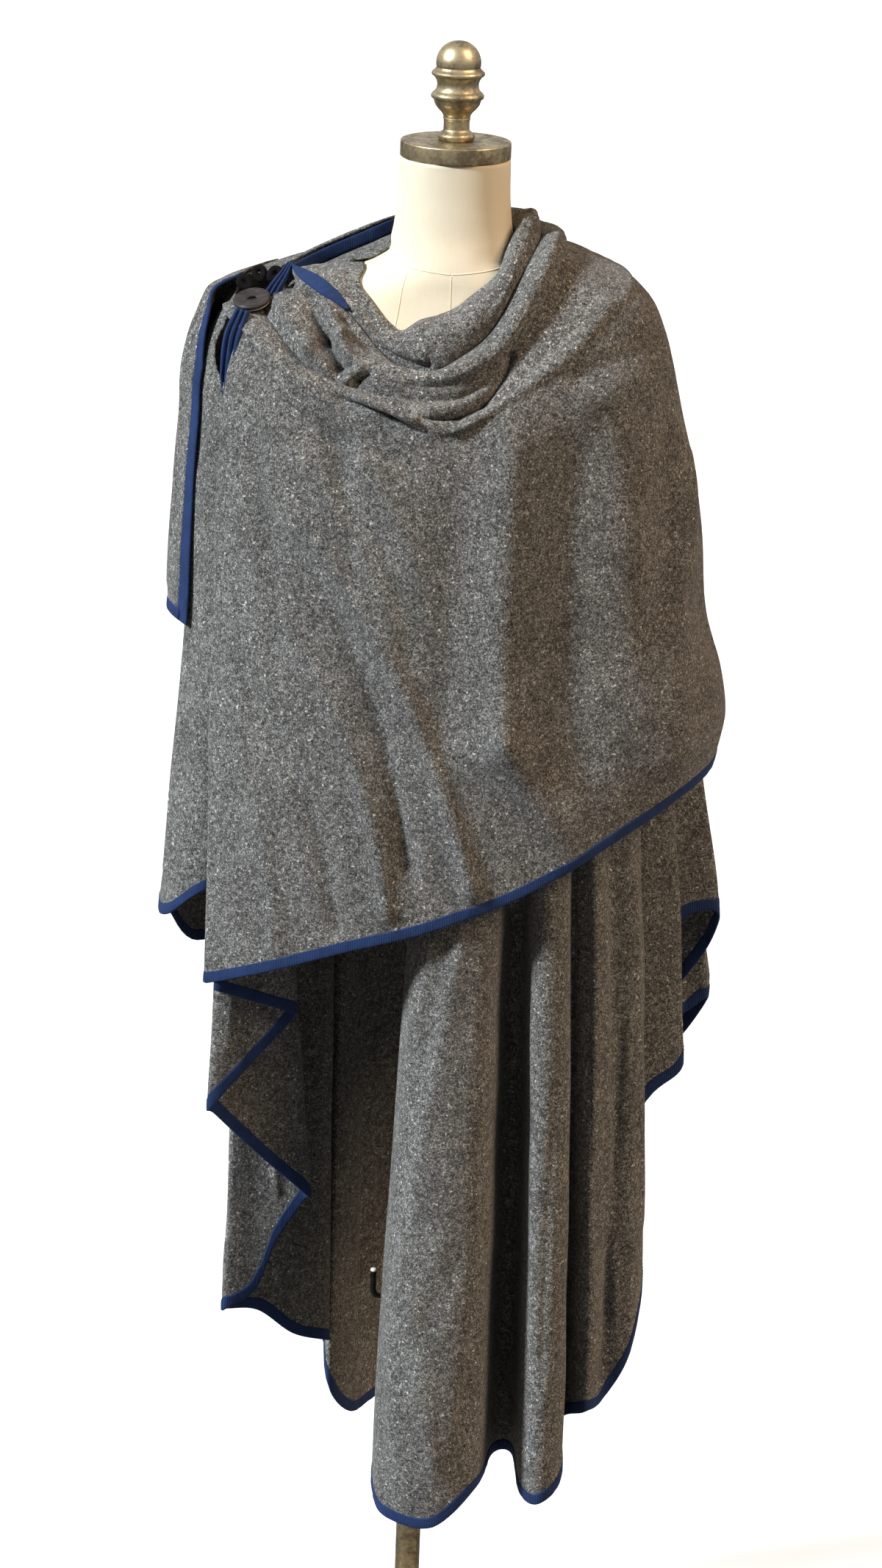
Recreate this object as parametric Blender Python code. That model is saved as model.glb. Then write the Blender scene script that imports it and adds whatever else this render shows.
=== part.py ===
"""Convertible wrap cape in heather wool, worn by a limbless dress form on a brass stand.

The cape is one wide rectangle of wool, bound in blue on every edge and slit at the
front. The wearer's right front is drawn across the chest, round the left arm and
across the back to the right shoulder, where four buttons hold it. Its end hangs
there as a tail. Under it the left front, the back and the rest of the right front
hang free in folds. Each stretch that shows is a wall of its own.

Metres, +Z up, front of the garment towards -Y. The pole stands on the Z axis and the
floor is Z = 0. Azimuth 0 is the front, 90 the image's right, 180 the back.
"""
import math

import bmesh
import bpy
import numpy as np

# Driving sizes
CLOTH = 0.002
BAND_WALL = 0.003
BAND = 0.012
SEAM = 0.0003
ROUND = 2.2
CAP_TOP = 1.620
CAP_HEIGHT = 0.016
CAP_RADIUS = 0.0525
TORSO_FOOT = 0.925
HANG = 1.28
SHEET_TOP = 1.460
UPPER_POLE = 0.010
LOWER_TUBE = 0.0125
TUBE_WALL = 0.0021
TUBE_TOP = 0.425
POLE_FOOT = 0.20
BASE_RADIUS = 0.165
BASE_THICK = 0.014
CLAMP_HEIGHT = 0.438
TURN = 10
PER_FOLD = 2


def table(names, *rows):
    """Return a table as one array for each named column."""
    values = np.array(rows, float)
    return {name: values[:, k] for k, name in enumerate(names.split())}


# Level sections, from the top down: half width to each side, depth to front and back
SECTION = "height right left front back"
FORM = table(
    SECTION,
    (1.604, 0.0525, 0.0525, 0.0500, 0.0500),
    (1.560, 0.0540, 0.0540, 0.0510, 0.0510),
    (1.530, 0.0580, 0.0580, 0.0540, 0.0550),
    (1.508, 0.0650, 0.0650, 0.0600, 0.0640),
    (1.498, 0.0850, 0.0850, 0.0620, 0.0710),
    (1.484, 0.1250, 0.1250, 0.0635, 0.0800),
    (1.466, 0.1550, 0.1550, 0.0670, 0.0880),
    (1.440, 0.1720, 0.1720, 0.0750, 0.0960),
    (1.400, 0.1780, 0.1780, 0.0900, 0.1060),
    (1.330, 0.1660, 0.1660, 0.1120, 0.1120),
    (1.280, 0.1520, 0.1520, 0.1200, 0.1090),
    (1.200, 0.1340, 0.1340, 0.1060, 0.0960),
    (1.100, 0.1180, 0.1180, 0.0860, 0.0840),
    (1.000, 0.1300, 0.1300, 0.0940, 0.0960),
    (0.960, 0.1360, 0.1360, 0.0970, 0.1000),
    (TORSO_FOOT, 0.1340, 0.1340, 0.0930, 0.0950),
)
UNDER = table(
    SECTION,
    (1.466, 0.1564, 0.1564, 0.0684, 0.0894),
    (1.440, 0.1734, 0.1734, 0.0764, 0.0974),
    (1.400, 0.1800, 0.1800, 0.0920, 0.1080),
    (1.330, 0.1900, 0.1900, 0.1150, 0.1160),
    (1.280, 0.1960, 0.1960, 0.1245, 0.1200),
)
OUTER = table(
    SECTION,
    (1.550, 0.0700, 0.0700, 0.0450, 0.0850),
    (1.530, 0.0950, 0.0950, 0.0580, 0.0900),
    (1.515, 0.1350, 0.1250, 0.0720, 0.1000),
    (1.480, 0.1860, 0.1960, 0.0980, 0.1180),
    (1.445, 0.2050, 0.2200, 0.1160, 0.1280),
    (1.410, 0.2160, 0.2360, 0.1280, 0.1340),
    (1.350, 0.2280, 0.2410, 0.1380, 0.1410),
    (1.300, 0.2400, 0.2430, 0.1440, 0.1460),
    (1.250, 0.2480, 0.2430, 0.1470, 0.1490),
    (1.160, 0.2570, 0.2430, 0.1510, 0.1530),
    (1.100, 0.2740, 0.2470, 0.1540, 0.1560),
    (1.060, 0.2790, 0.2500, 0.1570, 0.1580),
    (1.020, 0.2720, 0.2530, 0.1585, 0.1590),
    (0.950, 0.2660, 0.2580, 0.1610, 0.1620),
    (0.800, 0.2620, 0.2700, 0.1650, 0.1660),
)

# Places of the buttons: centre of the back face, then turn and lean in degrees
HORN_PLACE = (-0.187, -0.034, 1.4660)
BLACK_PLACES = (
    ((-0.1942, -0.0100, 1.4765), -35, 58),
    ((-0.1828, -0.0042, 1.4840), -5, 52),
    ((-0.1690, -0.0044, 1.4878), 25, 56),
)

# The draped neck: three creases and the bulge of each roll between them, by azimuth
COWL = table(
    "azimuth foot r1 z1 r2 z2 z3 bulge1 bulge2 bulge3",
    (-88, 1.506, 0.151, 1.494, 0.177, 1.461, 1.456, 0.003, 0.003, 0.003),
    (-70, 1.514, 0.135, 1.486, 0.170, 1.443, 1.440, 0.004, 0.006, 0.004),
    (-55, 1.507, 0.115, 1.464, 0.150, 1.414, 1.408, 0.005, 0.010, 0.006),
    (-40, 1.481, 0.105, 1.438, 0.136, 1.400, 1.384, 0.007, 0.013, 0.009),
    (-20, 1.461, 0.098, 1.427, 0.124, 1.395, 1.366, 0.012, 0.015, 0.013),
    (0, 1.469, 0.096, 1.432, 0.118, 1.395, 1.369, 0.014, 0.016, 0.014),
    (20, 1.486, 0.097, 1.453, 0.120, 1.413, 1.397, 0.015, 0.017, 0.012),
    (45, 1.508, 0.094, 1.507, 0.122, 1.480, 1.440, 0.018, 0.016, 0.008),
    (70, 1.528, 0.087, 1.530, 0.120, 1.513, 1.480, 0.022, 0.014, 0.004),
    (90, 1.534, 0.083, 1.530, 0.115, 1.515, 1.495, 0.024, 0.013, 0.002),
    (115, 1.534, 0.086, 1.534, 0.114, 1.517, 1.500, 0.018, 0.010, 0.002),
    (145, 1.532, 0.088, 1.542, 0.107, 1.521, 1.500, 0.009, 0.005, 0.002),
    (180, 1.527, 0.088, 1.540, 0.105, 1.520, 1.498, 0.005, 0.003, 0.002),
    (215, 1.520, 0.089, 1.534, 0.108, 1.514, 1.496, 0.002, 0.003, 0.002),
    (240, 1.514, 0.099, 1.523, 0.122, 1.506, 1.492, 0.002, 0.004, 0.002),
    (264, 1.506, 0.152, 1.503, 0.168, 1.492, 1.482, 0.003, 0.003, 0.002),
)
# Lower edge of the outer layer, by azimuth
HEM = table(
    "azimuth height",
    (-64, 0.806), (-50, 0.829), (-30, 0.857), (0, 0.886), (30, 0.923), (60, 0.984),
    (75, 1.013), (90, 1.023), (110, 1.015), (145, 0.990), (180, 0.955), (225, 0.900),
    (262, 0.856), (276, 0.849), (283, 0.862), (291, 0.898),
)
# Left fold of the front wrap, by height
FOLD = table(
    "height azimuth",
    (1.470, -72), (1.443, -71), (1.400, -70), (1.341, -70), (1.130, -69), (0.950, -65),
    (0.800, -63),
)

# How far the hanging end stands off the outer layer, by height
TAIL = table(
    "height lift",
    (1.486, 0.0075), (1.476, 0.019), (1.455, 0.0185), (1.410, 0.012), (1.360, 0.0095),
    (1.290, 0.0115), (1.190, 0.018), (1.150, 0.019),
)

# Hanging sheets: where each crest or valley starts, and where it ends at the hem
FALL = "azimuth x y hem"
LEFT_FRONT = table(
    FALL,
    (2, -0.035, -0.094, 0.300),
    (8, -0.037, -0.120, 0.282),
    (14, -0.024, -0.158, 0.270),
    (20, 0.024, -0.172, 0.266),
    (26, 0.066, -0.146, 0.300),
    (30, 0.082, -0.078, 0.290),
    (35, 0.104, -0.076, 0.290),
    (39, 0.110, -0.122, 0.284),
    (43, 0.128, -0.144, 0.282),
    (47, 0.147, -0.124, 0.300),
    (51, 0.150, -0.090, 0.340),
    (56, 0.172, -0.110, 0.368),
    (61, 0.190, -0.084, 0.370),
    (66, 0.215, -0.078, 0.420),
    (70, 0.222, -0.044, 0.500),
)
LEFT_SIDE = table(
    FALL,
    (75, 0.180, -0.035, 0.596),
    (79, 0.224, -0.029, 0.674),
    (83, 0.256, -0.018, 0.712),
    (87, 0.206, 0.000, 0.780),
    (91, 0.250, 0.018, 0.846),
    (95, 0.286, 0.028, 0.852),
    (99, 0.280, 0.050, 0.808),
    (103, 0.250, 0.066, 0.752),
    (107, 0.260, 0.087, 0.724),
    (111, 0.284, 0.094, 0.738),
    (116, 0.266, 0.116, 0.694),
)
BACK = table(
    FALL,
    (122, 0.222, 0.132, 0.630),
    (129, 0.205, 0.106, 0.590),
    (137, 0.172, 0.162, 0.505),
    (145, 0.150, 0.128, 0.455),
    (153, 0.118, 0.174, 0.385),
    (161, 0.090, 0.142, 0.340),
    (169, 0.056, 0.180, 0.300),
    (178, 0.022, 0.148, 0.280),
    (188, -0.014, 0.178, 0.270),
    (198, -0.046, 0.146, 0.266),
    (208, -0.070, 0.120, 0.268),
    (216, -0.084, 0.088, 0.300),
)
CASCADE = table(
    FALL,
    (222, -0.087, 0.056, 0.335),
    (227, -0.092, 0.034, 0.378),
    (233, -0.125, 0.016, 0.408),
    (240, -0.165, 0.004, 0.424),
    (246, -0.190, -0.006, 0.428),
    (250, -0.193, -0.022, 0.430),
    (255, -0.165, -0.034, 0.450),
    (260, -0.135, -0.044, 0.515),
    (265, -0.113, -0.050, 0.572),
    (269, -0.112, -0.064, 0.585),
    (274, -0.160, -0.068, 0.628),
    (279, -0.202, -0.066, 0.668),
    (282, -0.206, -0.080, 0.686),
    (286, -0.165, -0.085, 0.728),
    (290, -0.131, -0.086, 0.765),
    (293, -0.130, -0.099, 0.776),
    (296, -0.160, -0.098, 0.790),
    (299, -0.190, -0.095, 0.800),
)


def spline(keys, values, at):
    """Smooth curve through the values: cubic pieces whose slopes are central differences."""
    keys, values, at = (np.asarray(v, float) for v in (keys, values, at))
    slopes = np.gradient(values, keys)
    k = np.clip(np.searchsorted(keys, at, side="right") - 1, 0, len(keys) - 2)
    width = keys[k + 1] - keys[k]
    t = (at - keys[k]) / width
    start = (1 + 2 * t) * (1 - t) ** 2 * values[k] + t * (1 - t) ** 2 * width * slopes[k]
    end = t * t * (3 - 2 * t) * values[k + 1] + t * t * (t - 1) * width * slopes[k + 1]
    return start + end


def along(rows, name, at, key="azimuth"):
    """Read one column of a table at the given keys."""
    return spline(rows[key], rows[name], at)


def ring(section, height, azimuth):
    """Radius of a level section: a superellipse met by a ray at the azimuth.

    r = ((|sin| / side) ** n + (|cos| / depth) ** n) ** (-1 / n), n being ROUND.
    """
    turn = np.radians(azimuth)
    level = {name: np.interp(-height, -section["height"], section[name]) for name in section}
    side = np.where(np.sin(turn) > 0, level["right"], level["left"])
    depth = np.where(np.cos(turn) > 0, level["front"], level["back"])
    share = (np.abs(np.sin(turn)) / side) ** ROUND + (np.abs(np.cos(turn)) / depth) ** ROUND
    return share ** (-1 / ROUND)


def at_azimuth(radius, azimuth, height):
    """Points at a radius and azimuth round the pole."""
    turn = np.radians(azimuth)
    return np.stack(np.broadcast_arrays(
        radius * np.sin(turn), -radius * np.cos(turn), height), axis=-1)


def roll(inner, outer, bulge, count):
    """Radii and heights of a roll that arches from one crease to the next.

    Each crease is a pair of arrays, radius and height. The arch is the chord plus
    bulge * sin(pi * s) ** 0.8 along the chord's upper normal.
    """
    s = np.linspace(0, 1, count + 1)[:, None]
    across, drop = outer[0] - inner[0], outer[1] - inner[1]
    length = np.hypot(across, drop)
    rise = bulge * np.sin(math.pi * s) ** 0.8
    radius = inner[0] + across * s - rise * drop / length
    height = inner[1] + drop * s + rise * across / length
    return radius, height


def overhang(azimuth):
    """How far the lowest roll hangs over the wrap: 1 across the chest, 0 round the back."""
    return np.clip((azimuth + 84) / 12, 0, 1) * np.clip((78 - azimuth) / 20, 0, 1)


def creases(azimuth):
    """Radius and height of the draped neck's foot and its three creases."""
    foot = along(COWL, "foot", azimuth)
    low = along(COWL, "z3", azimuth)
    return (
        (ring(FORM, foot, azimuth) + 0.0018, foot + 0.0010),
        (along(COWL, "r1", azimuth), along(COWL, "z1", azimuth)),
        (along(COWL, "r2", azimuth), along(COWL, "z2", azimuth)),
        (ring(OUTER, low, azimuth) + 0.0012 + 0.0035 * overhang(azimuth), low + 4 * SEAM),
    )


def inner_roll_points():
    """The roll that lies on the neck, from its foot to the first crease."""
    azimuth = np.append(np.arange(-87, 260, TURN), 262.0)
    foot, first, _, _ = creases(azimuth)
    collar = np.clip((azimuth - 150) / 40, 0, 1)
    edge = (first[0] - 0.0009 - 0.003 * collar, first[1] - 0.0158 * collar)
    radius, height = roll(foot, edge, along(COWL, "bulge1", azimuth), 5)
    return at_azimuth(radius, azimuth, height)


def outer_roll_points():
    """The two outer rolls, from the first crease to the edge that lies on the wrap."""
    azimuth = np.append(np.arange(-87, 260, TURN), 264.0)
    _, first, second, third = creases(azimuth)
    top = (first[0] + 0.0009, first[1])
    middle = roll(top, second, along(COWL, "bulge2", azimuth), 5)
    low = roll(second, third, along(COWL, "bulge3", azimuth), 4)
    radius = np.concatenate([middle[0], low[0][1:]])
    height = np.concatenate([middle[1], low[1][1:]])
    return at_azimuth(radius, azimuth, height)


def back_collar_points():
    """Binding on the neck side of the standing back collar, from its edge down."""
    azimuth = np.linspace(196, 261, 8)
    first = creases(azimuth)[1]
    down = np.array([0, BAND])[:, None]
    return at_azimuth(first[0] - 0.0024 - 0.12 * down, azimuth, first[1] - 0.001 - down)


def front_neck_points():
    """Binding of the front neck edge: it lies on the outer roll and runs in under the inner."""
    azimuth = np.linspace(-83, -57, 7)
    _, first, second, _ = creases(azimuth)
    length = np.hypot(second[0] - first[0], second[1] - first[1])
    width = np.linspace(0.8, 0.8, 7) * BAND
    share = np.array([0.02, 0.5, 1.0])[:, None] * width / length
    rise = along(COWL, "bulge2", azimuth) * np.sin(math.pi * share) ** 0.8 + 0.0034
    across, drop = second[0] - first[0], second[1] - first[1]
    radius = first[0] + 0.0014 + across * share - rise * drop / length
    height = first[1] + drop * share + rise * across / length
    return at_azimuth(radius, azimuth, height)


def gather_points(start, end, width, pleats, depth, sag):
    """Pleated end of a binding: a strip from start to end, folded lengthways."""
    start, end = np.array(start), np.array(end)
    run = unit(end - start)
    level = unit(np.cross(run, (0, 0, 1.0)))
    up = np.cross(level, run)
    s = np.linspace(0, 1, 6)[:, None, None]
    t = np.linspace(-0.5, 0.5, 2 * pleats + 1)[None, :, None]
    fold = np.where(np.arange(2 * pleats + 1) % 2, 1, -1)[None, :, None] * depth
    return start + (end - start) * s + level * t * width + up * (fold - sag * np.sin(math.pi * s))


def outer_points():
    """The outer layer: one cloth from its left fold, round the back, to its tucked end.

    Rows run from the crease under the draped neck, where the cloth is drawn in behind
    the lowest roll, down to the binding's seam and the hem.
    """
    columns = 36
    share = (np.linspace(0, 1, 10) ** 1.1)[:, None]
    part = np.linspace(0, 1, columns + 1)
    level = HEM["height"][0] + (FOLD["height"][0] - HEM["height"][0]) * (1 - share)
    left = np.interp(-level, -FOLD["height"], FOLD["azimuth"])
    end = 280 + 11 * np.clip((1.44 - level) / 0.12, 0, 1)
    azimuth = left + (end - left) * part
    hem = along(HEM, "height", np.maximum(azimuth, -64))
    top = outer_top(azimuth) - SEAM
    height = top + (hem + BAND - top) * share
    height = np.concatenate([height, hem[-1:]])
    azimuth = np.concatenate([azimuth, azimuth[-1:]])
    reach = 1 - 0.07 * np.clip((azimuth - 272) / 19, 0, 1) ** 1.5
    radius = ring(OUTER, height, azimuth) * reach
    radius[0] -= 0.008 * overhang(azimuth[0])
    points = at_azimuth(radius, azimuth, height)
    return np.concatenate([fold_return(points), points], axis=1)


def outer_top(azimuth):
    """Top line of the outer layer: the lowest crease, then down past the right shoulder."""
    shoulder = along(COWL, "z3", np.clip(azimuth, -74, 262))
    return shoulder - 0.085 * np.clip((azimuth - 258) / 33, 0, 1) ** 0.9


def fold_return(points):
    """Columns that turn the left fold of the wrap back behind itself."""
    edge = points[:, :1]
    inward = points[:, 1:2] - edge
    inward[..., 2] = 0
    inward = unit(inward)
    behind = np.stack([-inward[..., 1], inward[..., 0], np.zeros_like(inward[..., 0])], axis=-1)
    steps = ((0.011, 0.0095), (0.003, 0.0095), (-0.003, 0.0050))
    return np.concatenate([edge + inward * run + behind * back for run, back in steps], axis=1)


def tail_points():
    """The end of the wrap, hanging over the right shoulder outside the side drape."""
    down = np.append(np.linspace(0, 1, 10) ** 1.6, 1.0)[:, None]
    across = np.array((0, 0.09, 0.3, 0.5, 0.7, 0.85, 1.0))[None, :]
    top = 1.484 + 0.004 * across
    low = 1.150 + 0.030 * across
    height = top + (low + BAND - top) * down
    height[-1] -= BAND
    front = 269 + 18 * np.clip(down / 0.25, 0, 1) ** 0.7
    width = 20 + 34 * np.clip(down / 0.6, 0, 1) ** 0.7
    azimuth = front - width * across
    ripple = 0.003 * np.sin(across * 3 * math.pi) * down
    lift = np.interp(-height, -TAIL["height"], TAIL["lift"]) * (1 - 0.35 * across * down)
    return at_azimuth(ring(OUTER, height, azimuth) + lift + ripple, azimuth, height)


def under_points():
    """The free hanging cloth: laid on the form, then falling in folds that open downwards.

    Down from HANG each column runs from its start to its foot by 1 - (1 - t) ** ease,
    where ease is 1.6 at the front and 1.2 elsewhere.
    The last two rows are the binding's seam and the hem.
    """
    tables = (LEFT_FRONT, LEFT_SIDE, BACK, CASCADE)
    rows = {name: np.concatenate([t[name] for t in tables]) for name in FALL.split()}
    count = len(rows["x"])
    index = np.linspace(0, count - 1, (count - 1) * PER_FOLD + 1)
    azimuth, x, y, hem = (spline(np.arange(count), rows[name], index) for name in FALL.split())
    run = np.hypot(np.gradient(x), np.gradient(y)) + 1e-6
    band = BAND * np.minimum(np.sqrt(1 + (np.gradient(hem) / run) ** 2), 1.6)
    laid = np.array([SHEET_TOP, 1.440, 1.400, 1.330])[:, None]
    on_form = at_azimuth(ring(UNDER, laid, azimuth), azimuth, laid)
    start = at_azimuth(ring(UNDER, HANG, azimuth), azimuth, HANG)
    foot = np.stack([x, y, hem], axis=-1)
    share = (np.linspace(0, 1, 6) ** 0.9)[:, None]
    height = np.concatenate([HANG + (hem + band - HANG) * share, hem[None]])
    t = ((HANG - height) / (HANG - hem))[..., None]
    ease = 1.6 - 0.4 * np.clip((azimuth - 75) / 20, 0, 1)
    fall = start + (foot - start) * (1 - (1 - t) ** ease[:, None])
    fall[..., 2] = height
    return clear_of_form(np.concatenate([on_form, fall]))


def clear_of_form(points):
    """Hold the cloth outside the torso, where a fold would reach into it."""
    x, y, height = np.moveaxis(points, -1, 0)
    azimuth = np.degrees(np.arctan2(x, -y))
    least = ring(FORM, height, azimuth) + 0.0014 + 0.004 * np.clip((1.30 - height) / 0.1, 0, 1)
    push = np.where(height > TORSO_FOOT - 0.03, np.maximum(least / np.hypot(x, y), 1), 1)
    return np.stack([x * push, y * push, height], axis=-1)


def unit(vectors):
    """Vectors brought to length 1."""
    return vectors / np.linalg.norm(vectors, axis=-1, keepdims=True)


def normals(points):
    """Unit normals of a grid: across the mean of the unit steps on each side, both ways."""
    means = []
    for axis in (0, 1):
        lines = np.swapaxes(points, 0, axis)
        step = unit(np.diff(lines, axis=0))
        mean = np.concatenate([step[:1], step]) + np.concatenate([step, step[-1:]])
        means.append(np.swapaxes(mean, 0, axis))
    return unit(np.cross(*means))


def stretch(points, rows, columns, wall):
    """Both faces of one stretch, cut from a whole cloth just inside its edges."""
    faces = []
    normal = normals(points)
    for side in (0.5, -0.5):
        face = (points + normal * wall * side)[slice(*rows), slice(*columns)].copy()
        for axis in (0, 1):
            lines = np.swapaxes(face, 0, axis)
            for edge, inside in ((0, 1), (-1, -2)):
                lines[edge] += unit(lines[inside] - lines[edge]) * SEAM * 0.8
        faces.append(face)
    return faces


def material(name, colour, roughness, metallic=0.0):
    """Plain material with the part's colour, roughness and metallic value."""
    found = bpy.data.materials.get(name) or bpy.data.materials.new(name)
    found.use_nodes = True
    shader = found.node_tree.nodes["Principled BSDF"]
    shader.inputs["Base Color"].default_value = (*colour, 1)
    shader.inputs["Roughness"].default_value = roughness
    shader.inputs["Metallic"].default_value = metallic
    return found


def wool():
    return material("heather_wool", (0.105, 0.100, 0.098), 0.95)


def ribbon():
    return material("blue_binding", (0.020, 0.045, 0.155), 0.85)


def linen():
    return material("cream_linen", (0.83, 0.73, 0.55), 0.9)


def brass():
    return material("antique_brass", (0.26, 0.20, 0.12), 0.38, 1.0)


def horn():
    return material("dark_horn", (0.045, 0.038, 0.036), 0.35)


def jet():
    return material("black_button", (0.010, 0.010, 0.011), 0.4)


def black_steel():
    return material("black_steel", (0.02, 0.02, 0.02), 0.4, 1.0)


def add_object(name, mesh, finish, parent=None):
    """Link a mesh as a named object with its material."""
    item = bpy.data.objects.new(name, mesh)
    mesh.materials.append(finish)
    bpy.context.collection.objects.link(item)
    item.parent = parent
    return item


def cloth(name, points, finish, parent, wall=CLOTH, rows=(None, None), columns=(None, None)):
    """Closed wall of cloth: the two faces of a stretch, joined round its four edges.

    Each quad is split along the same diagonal, so walls match on both sides of a seam.
    """
    outside, inside = stretch(points, rows, columns, wall)
    down, across = outside.shape[:2]
    number = np.arange(down * across).reshape(down, across)
    far = number + down * across
    quads = [
        np.stack([number[:-1, :-1], number[1:, :-1], number[1:, 1:], number[:-1, 1:]], axis=-1),
        np.stack([far[:-1, :-1], far[:-1, 1:], far[1:, 1:], far[1:, :-1]], axis=-1),
        np.stack([number[0, :-1], number[0, 1:], far[0, 1:], far[0, :-1]], axis=-1),
        np.stack([number[-1, :-1], far[-1, :-1], far[-1, 1:], number[-1, 1:]], axis=-1),
        np.stack([number[:-1, 0], far[:-1, 0], far[1:, 0], number[1:, 0]], axis=-1),
        np.stack([number[:-1, -1], number[1:, -1], far[1:, -1], far[:-1, -1]], axis=-1),
    ]
    corners = np.concatenate([outside.reshape(-1, 3), inside.reshape(-1, 3)])
    quads = np.concatenate([q.reshape(-1, 4) for q in quads])
    faces = np.concatenate([quads[:, (0, 1, 2)], quads[:, (0, 2, 3)]])
    mesh = bpy.data.meshes.new(name)
    mesh.from_pydata(corners.tolist(), [], faces.tolist())
    return add_object(name, mesh, finish, parent)


def turned(name, outline, finish, parent, steps=24, place=(0, 0, 0), tilt=(0, 0, 0)):
    """Turned piece: an outline of radius and height spun about its own Z axis."""
    mesh = bpy.data.meshes.new(name)
    mesh.from_pydata([(r, 0, z) for r, z in outline], [(k, k + 1) for k in range(len(outline) - 1)], [])
    item = add_object(name, mesh, finish, parent)
    item.location = place
    item.rotation_euler = tilt
    spin = item.modifiers.new("spin", "SCREW")
    spin.steps = spin.render_steps = steps
    spin.use_merge_vertices = True
    spin.merge_threshold = 0.00005
    spin.use_normal_flip = True
    return item


def arc(centre, radius, start, end, count):
    """Points of an outline on a round stretch, angles in degrees."""
    turn = np.radians(np.linspace(start, end, count + 1))
    return [(centre[0] + radius * math.cos(a), centre[1] + radius * math.sin(a)) for a in turn]


def make_torso(parent):
    """Linen body: level sections joined into one closed solid."""
    azimuth = np.arange(0, 360, TURN)
    level = FORM["height"][:, None]
    points = at_azimuth(ring(FORM, level, azimuth), azimuth, level)
    rows, columns = points.shape[:2]
    mesh = bmesh.new()
    grid = [[mesh.verts.new(p) for p in row] for row in points.tolist()]
    for k in range(rows - 1):
        for j in range(columns):
            n = (j + 1) % columns
            mesh.faces.new((grid[k][j], grid[k + 1][j], grid[k + 1][n], grid[k][n]))
    mesh.faces.new(grid[0])
    mesh.faces.new(grid[-1][::-1])
    data = bpy.data.meshes.new("linen_torso")
    bmesh.ops.recalc_face_normals(mesh, faces=mesh.faces)
    mesh.to_mesh(data)
    mesh.free()
    return add_object("linen_torso", data, linen(), parent)


def make_cap_and_finial(parent):
    """Neck cap and the acorn finial that stands on it."""
    low = CAP_TOP - CAP_HEIGHT + SEAM
    edge = CAP_RADIUS - 0.0015
    cap = [(0, low), (edge, low)] + arc((edge, CAP_TOP - 0.0015), 0.0015, 0, 90, 2)
    cap += [(0.024, CAP_TOP), (0, CAP_TOP)]
    turned("neck_cap", cap, brass(), parent, 28)
    foot = CAP_TOP + SEAM
    shape = [(0, 0), (0.0168, 0)] + arc((0.0145, 0.0045), 0.0035, -40, 90, 2)
    shape += [(0.0126, 0.0095), (0.0122, 0.0190), (0.0155, 0.0270), (0.0205, 0.0330), (0.0222, 0.0385)]
    shape += arc((0.0228, 0.0425), 0.0025, -60, 70, 2)
    shape += [(0.0205, 0.0480), (0.0195, 0.0530), (0.0215, 0.0590)]
    shape += arc((0.0228, 0.0630), 0.0025, -60, 60, 2)
    shape += [(0.0208, 0.0680), (0.0215, 0.0720), (0.0200, 0.0800), (0.0150, 0.0875)]
    shape += [(0.0080, 0.0925), (0, 0.0940)]
    turned("finial", [(r, z + foot) for r, z in shape], brass(), parent, 20)


def make_pole(parent):
    """Upper pole, fixed in the torso's foot and free to slide in the lower tube."""
    top = TORSO_FOOT - SEAM
    outline = [(0, POLE_FOOT), (UPPER_POLE, POLE_FOOT), (UPPER_POLE, top - 0.006)]
    outline += [(0.026, top - 0.006), (0.026, top), (0, top)]
    turned("upper_pole", outline, brass(), parent, 24)


def make_stand():
    """Weighted base, lower tube with its clamp collar, and the bent clamp screw."""
    edge = BASE_RADIUS - BASE_THICK / 2
    base = [(0, 0), (edge, 0)] + arc((edge, BASE_THICK / 2), BASE_THICK / 2, -60, 90, 4)
    base += [(0.030, BASE_THICK + 0.004), (0.020, BASE_THICK + 0.010), (0, BASE_THICK + 0.010)]
    turned("base_disc", base, brass(), None, 36)
    foot = BASE_THICK + 0.010 + SEAM
    bore = LOWER_TUBE - TUBE_WALL
    head, lip = TUBE_TOP, TUBE_TOP + 0.028
    tube = [(0, foot), (LOWER_TUBE, foot), (LOWER_TUBE, head), (0.019, head), (0.019, lip)]
    tube += [(bore, lip), (bore, foot + 0.02), (0, foot + 0.02)]
    turned("lower_tube", tube, brass(), None, 24)
    make_clamp()


def make_clamp():
    """Bent rod that screws into the collar: out to the image's left, then up."""
    rod = 0.003
    mesh = bpy.data.curves.new("clamp_screw", "CURVE")
    mesh.dimensions = "3D"
    mesh.bevel_depth = rod
    mesh.bevel_resolution = 2
    mesh.use_fill_caps = True
    path = mesh.splines.new("POLY")
    bend = 0.006
    turn = np.radians((0, 30, 60, 90))
    points = [(-0.019 - SEAM, 0, 0)]
    points += [(-0.038 - bend * math.sin(a), 0, bend - bend * math.cos(a)) for a in turn]
    points += [(-0.038 - bend, 0, 0.030)]
    path.points.add(len(points) - 1)
    for slot, point in zip(path.points, points):
        slot.co = (*point, 1)
    item = bpy.data.objects.new("clamp_screw", mesh)
    mesh.materials.append(black_steel())
    bpy.context.collection.objects.link(item)
    item.location = (0, 0, CLAMP_HEIGHT)


def make_gathers(parent):
    """Pleated bindings that meet under the horn button."""
    upper = gather_points((-0.1608, -0.006, 1.4995), (-0.1693, -0.0345, 1.4770), 0.010, 2, 0.0016, 0.001)
    cloth("binding_gather_upper", upper, ribbon(), parent, CLOTH)
    lower = gather_points((-0.2050, -0.0420, 1.4480), (-0.2090, -0.0555, 1.3850), 0.009, 3, 0.0016, 0.0)
    cloth("binding_gather_lower", lower, ribbon(), parent, CLOTH)


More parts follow.
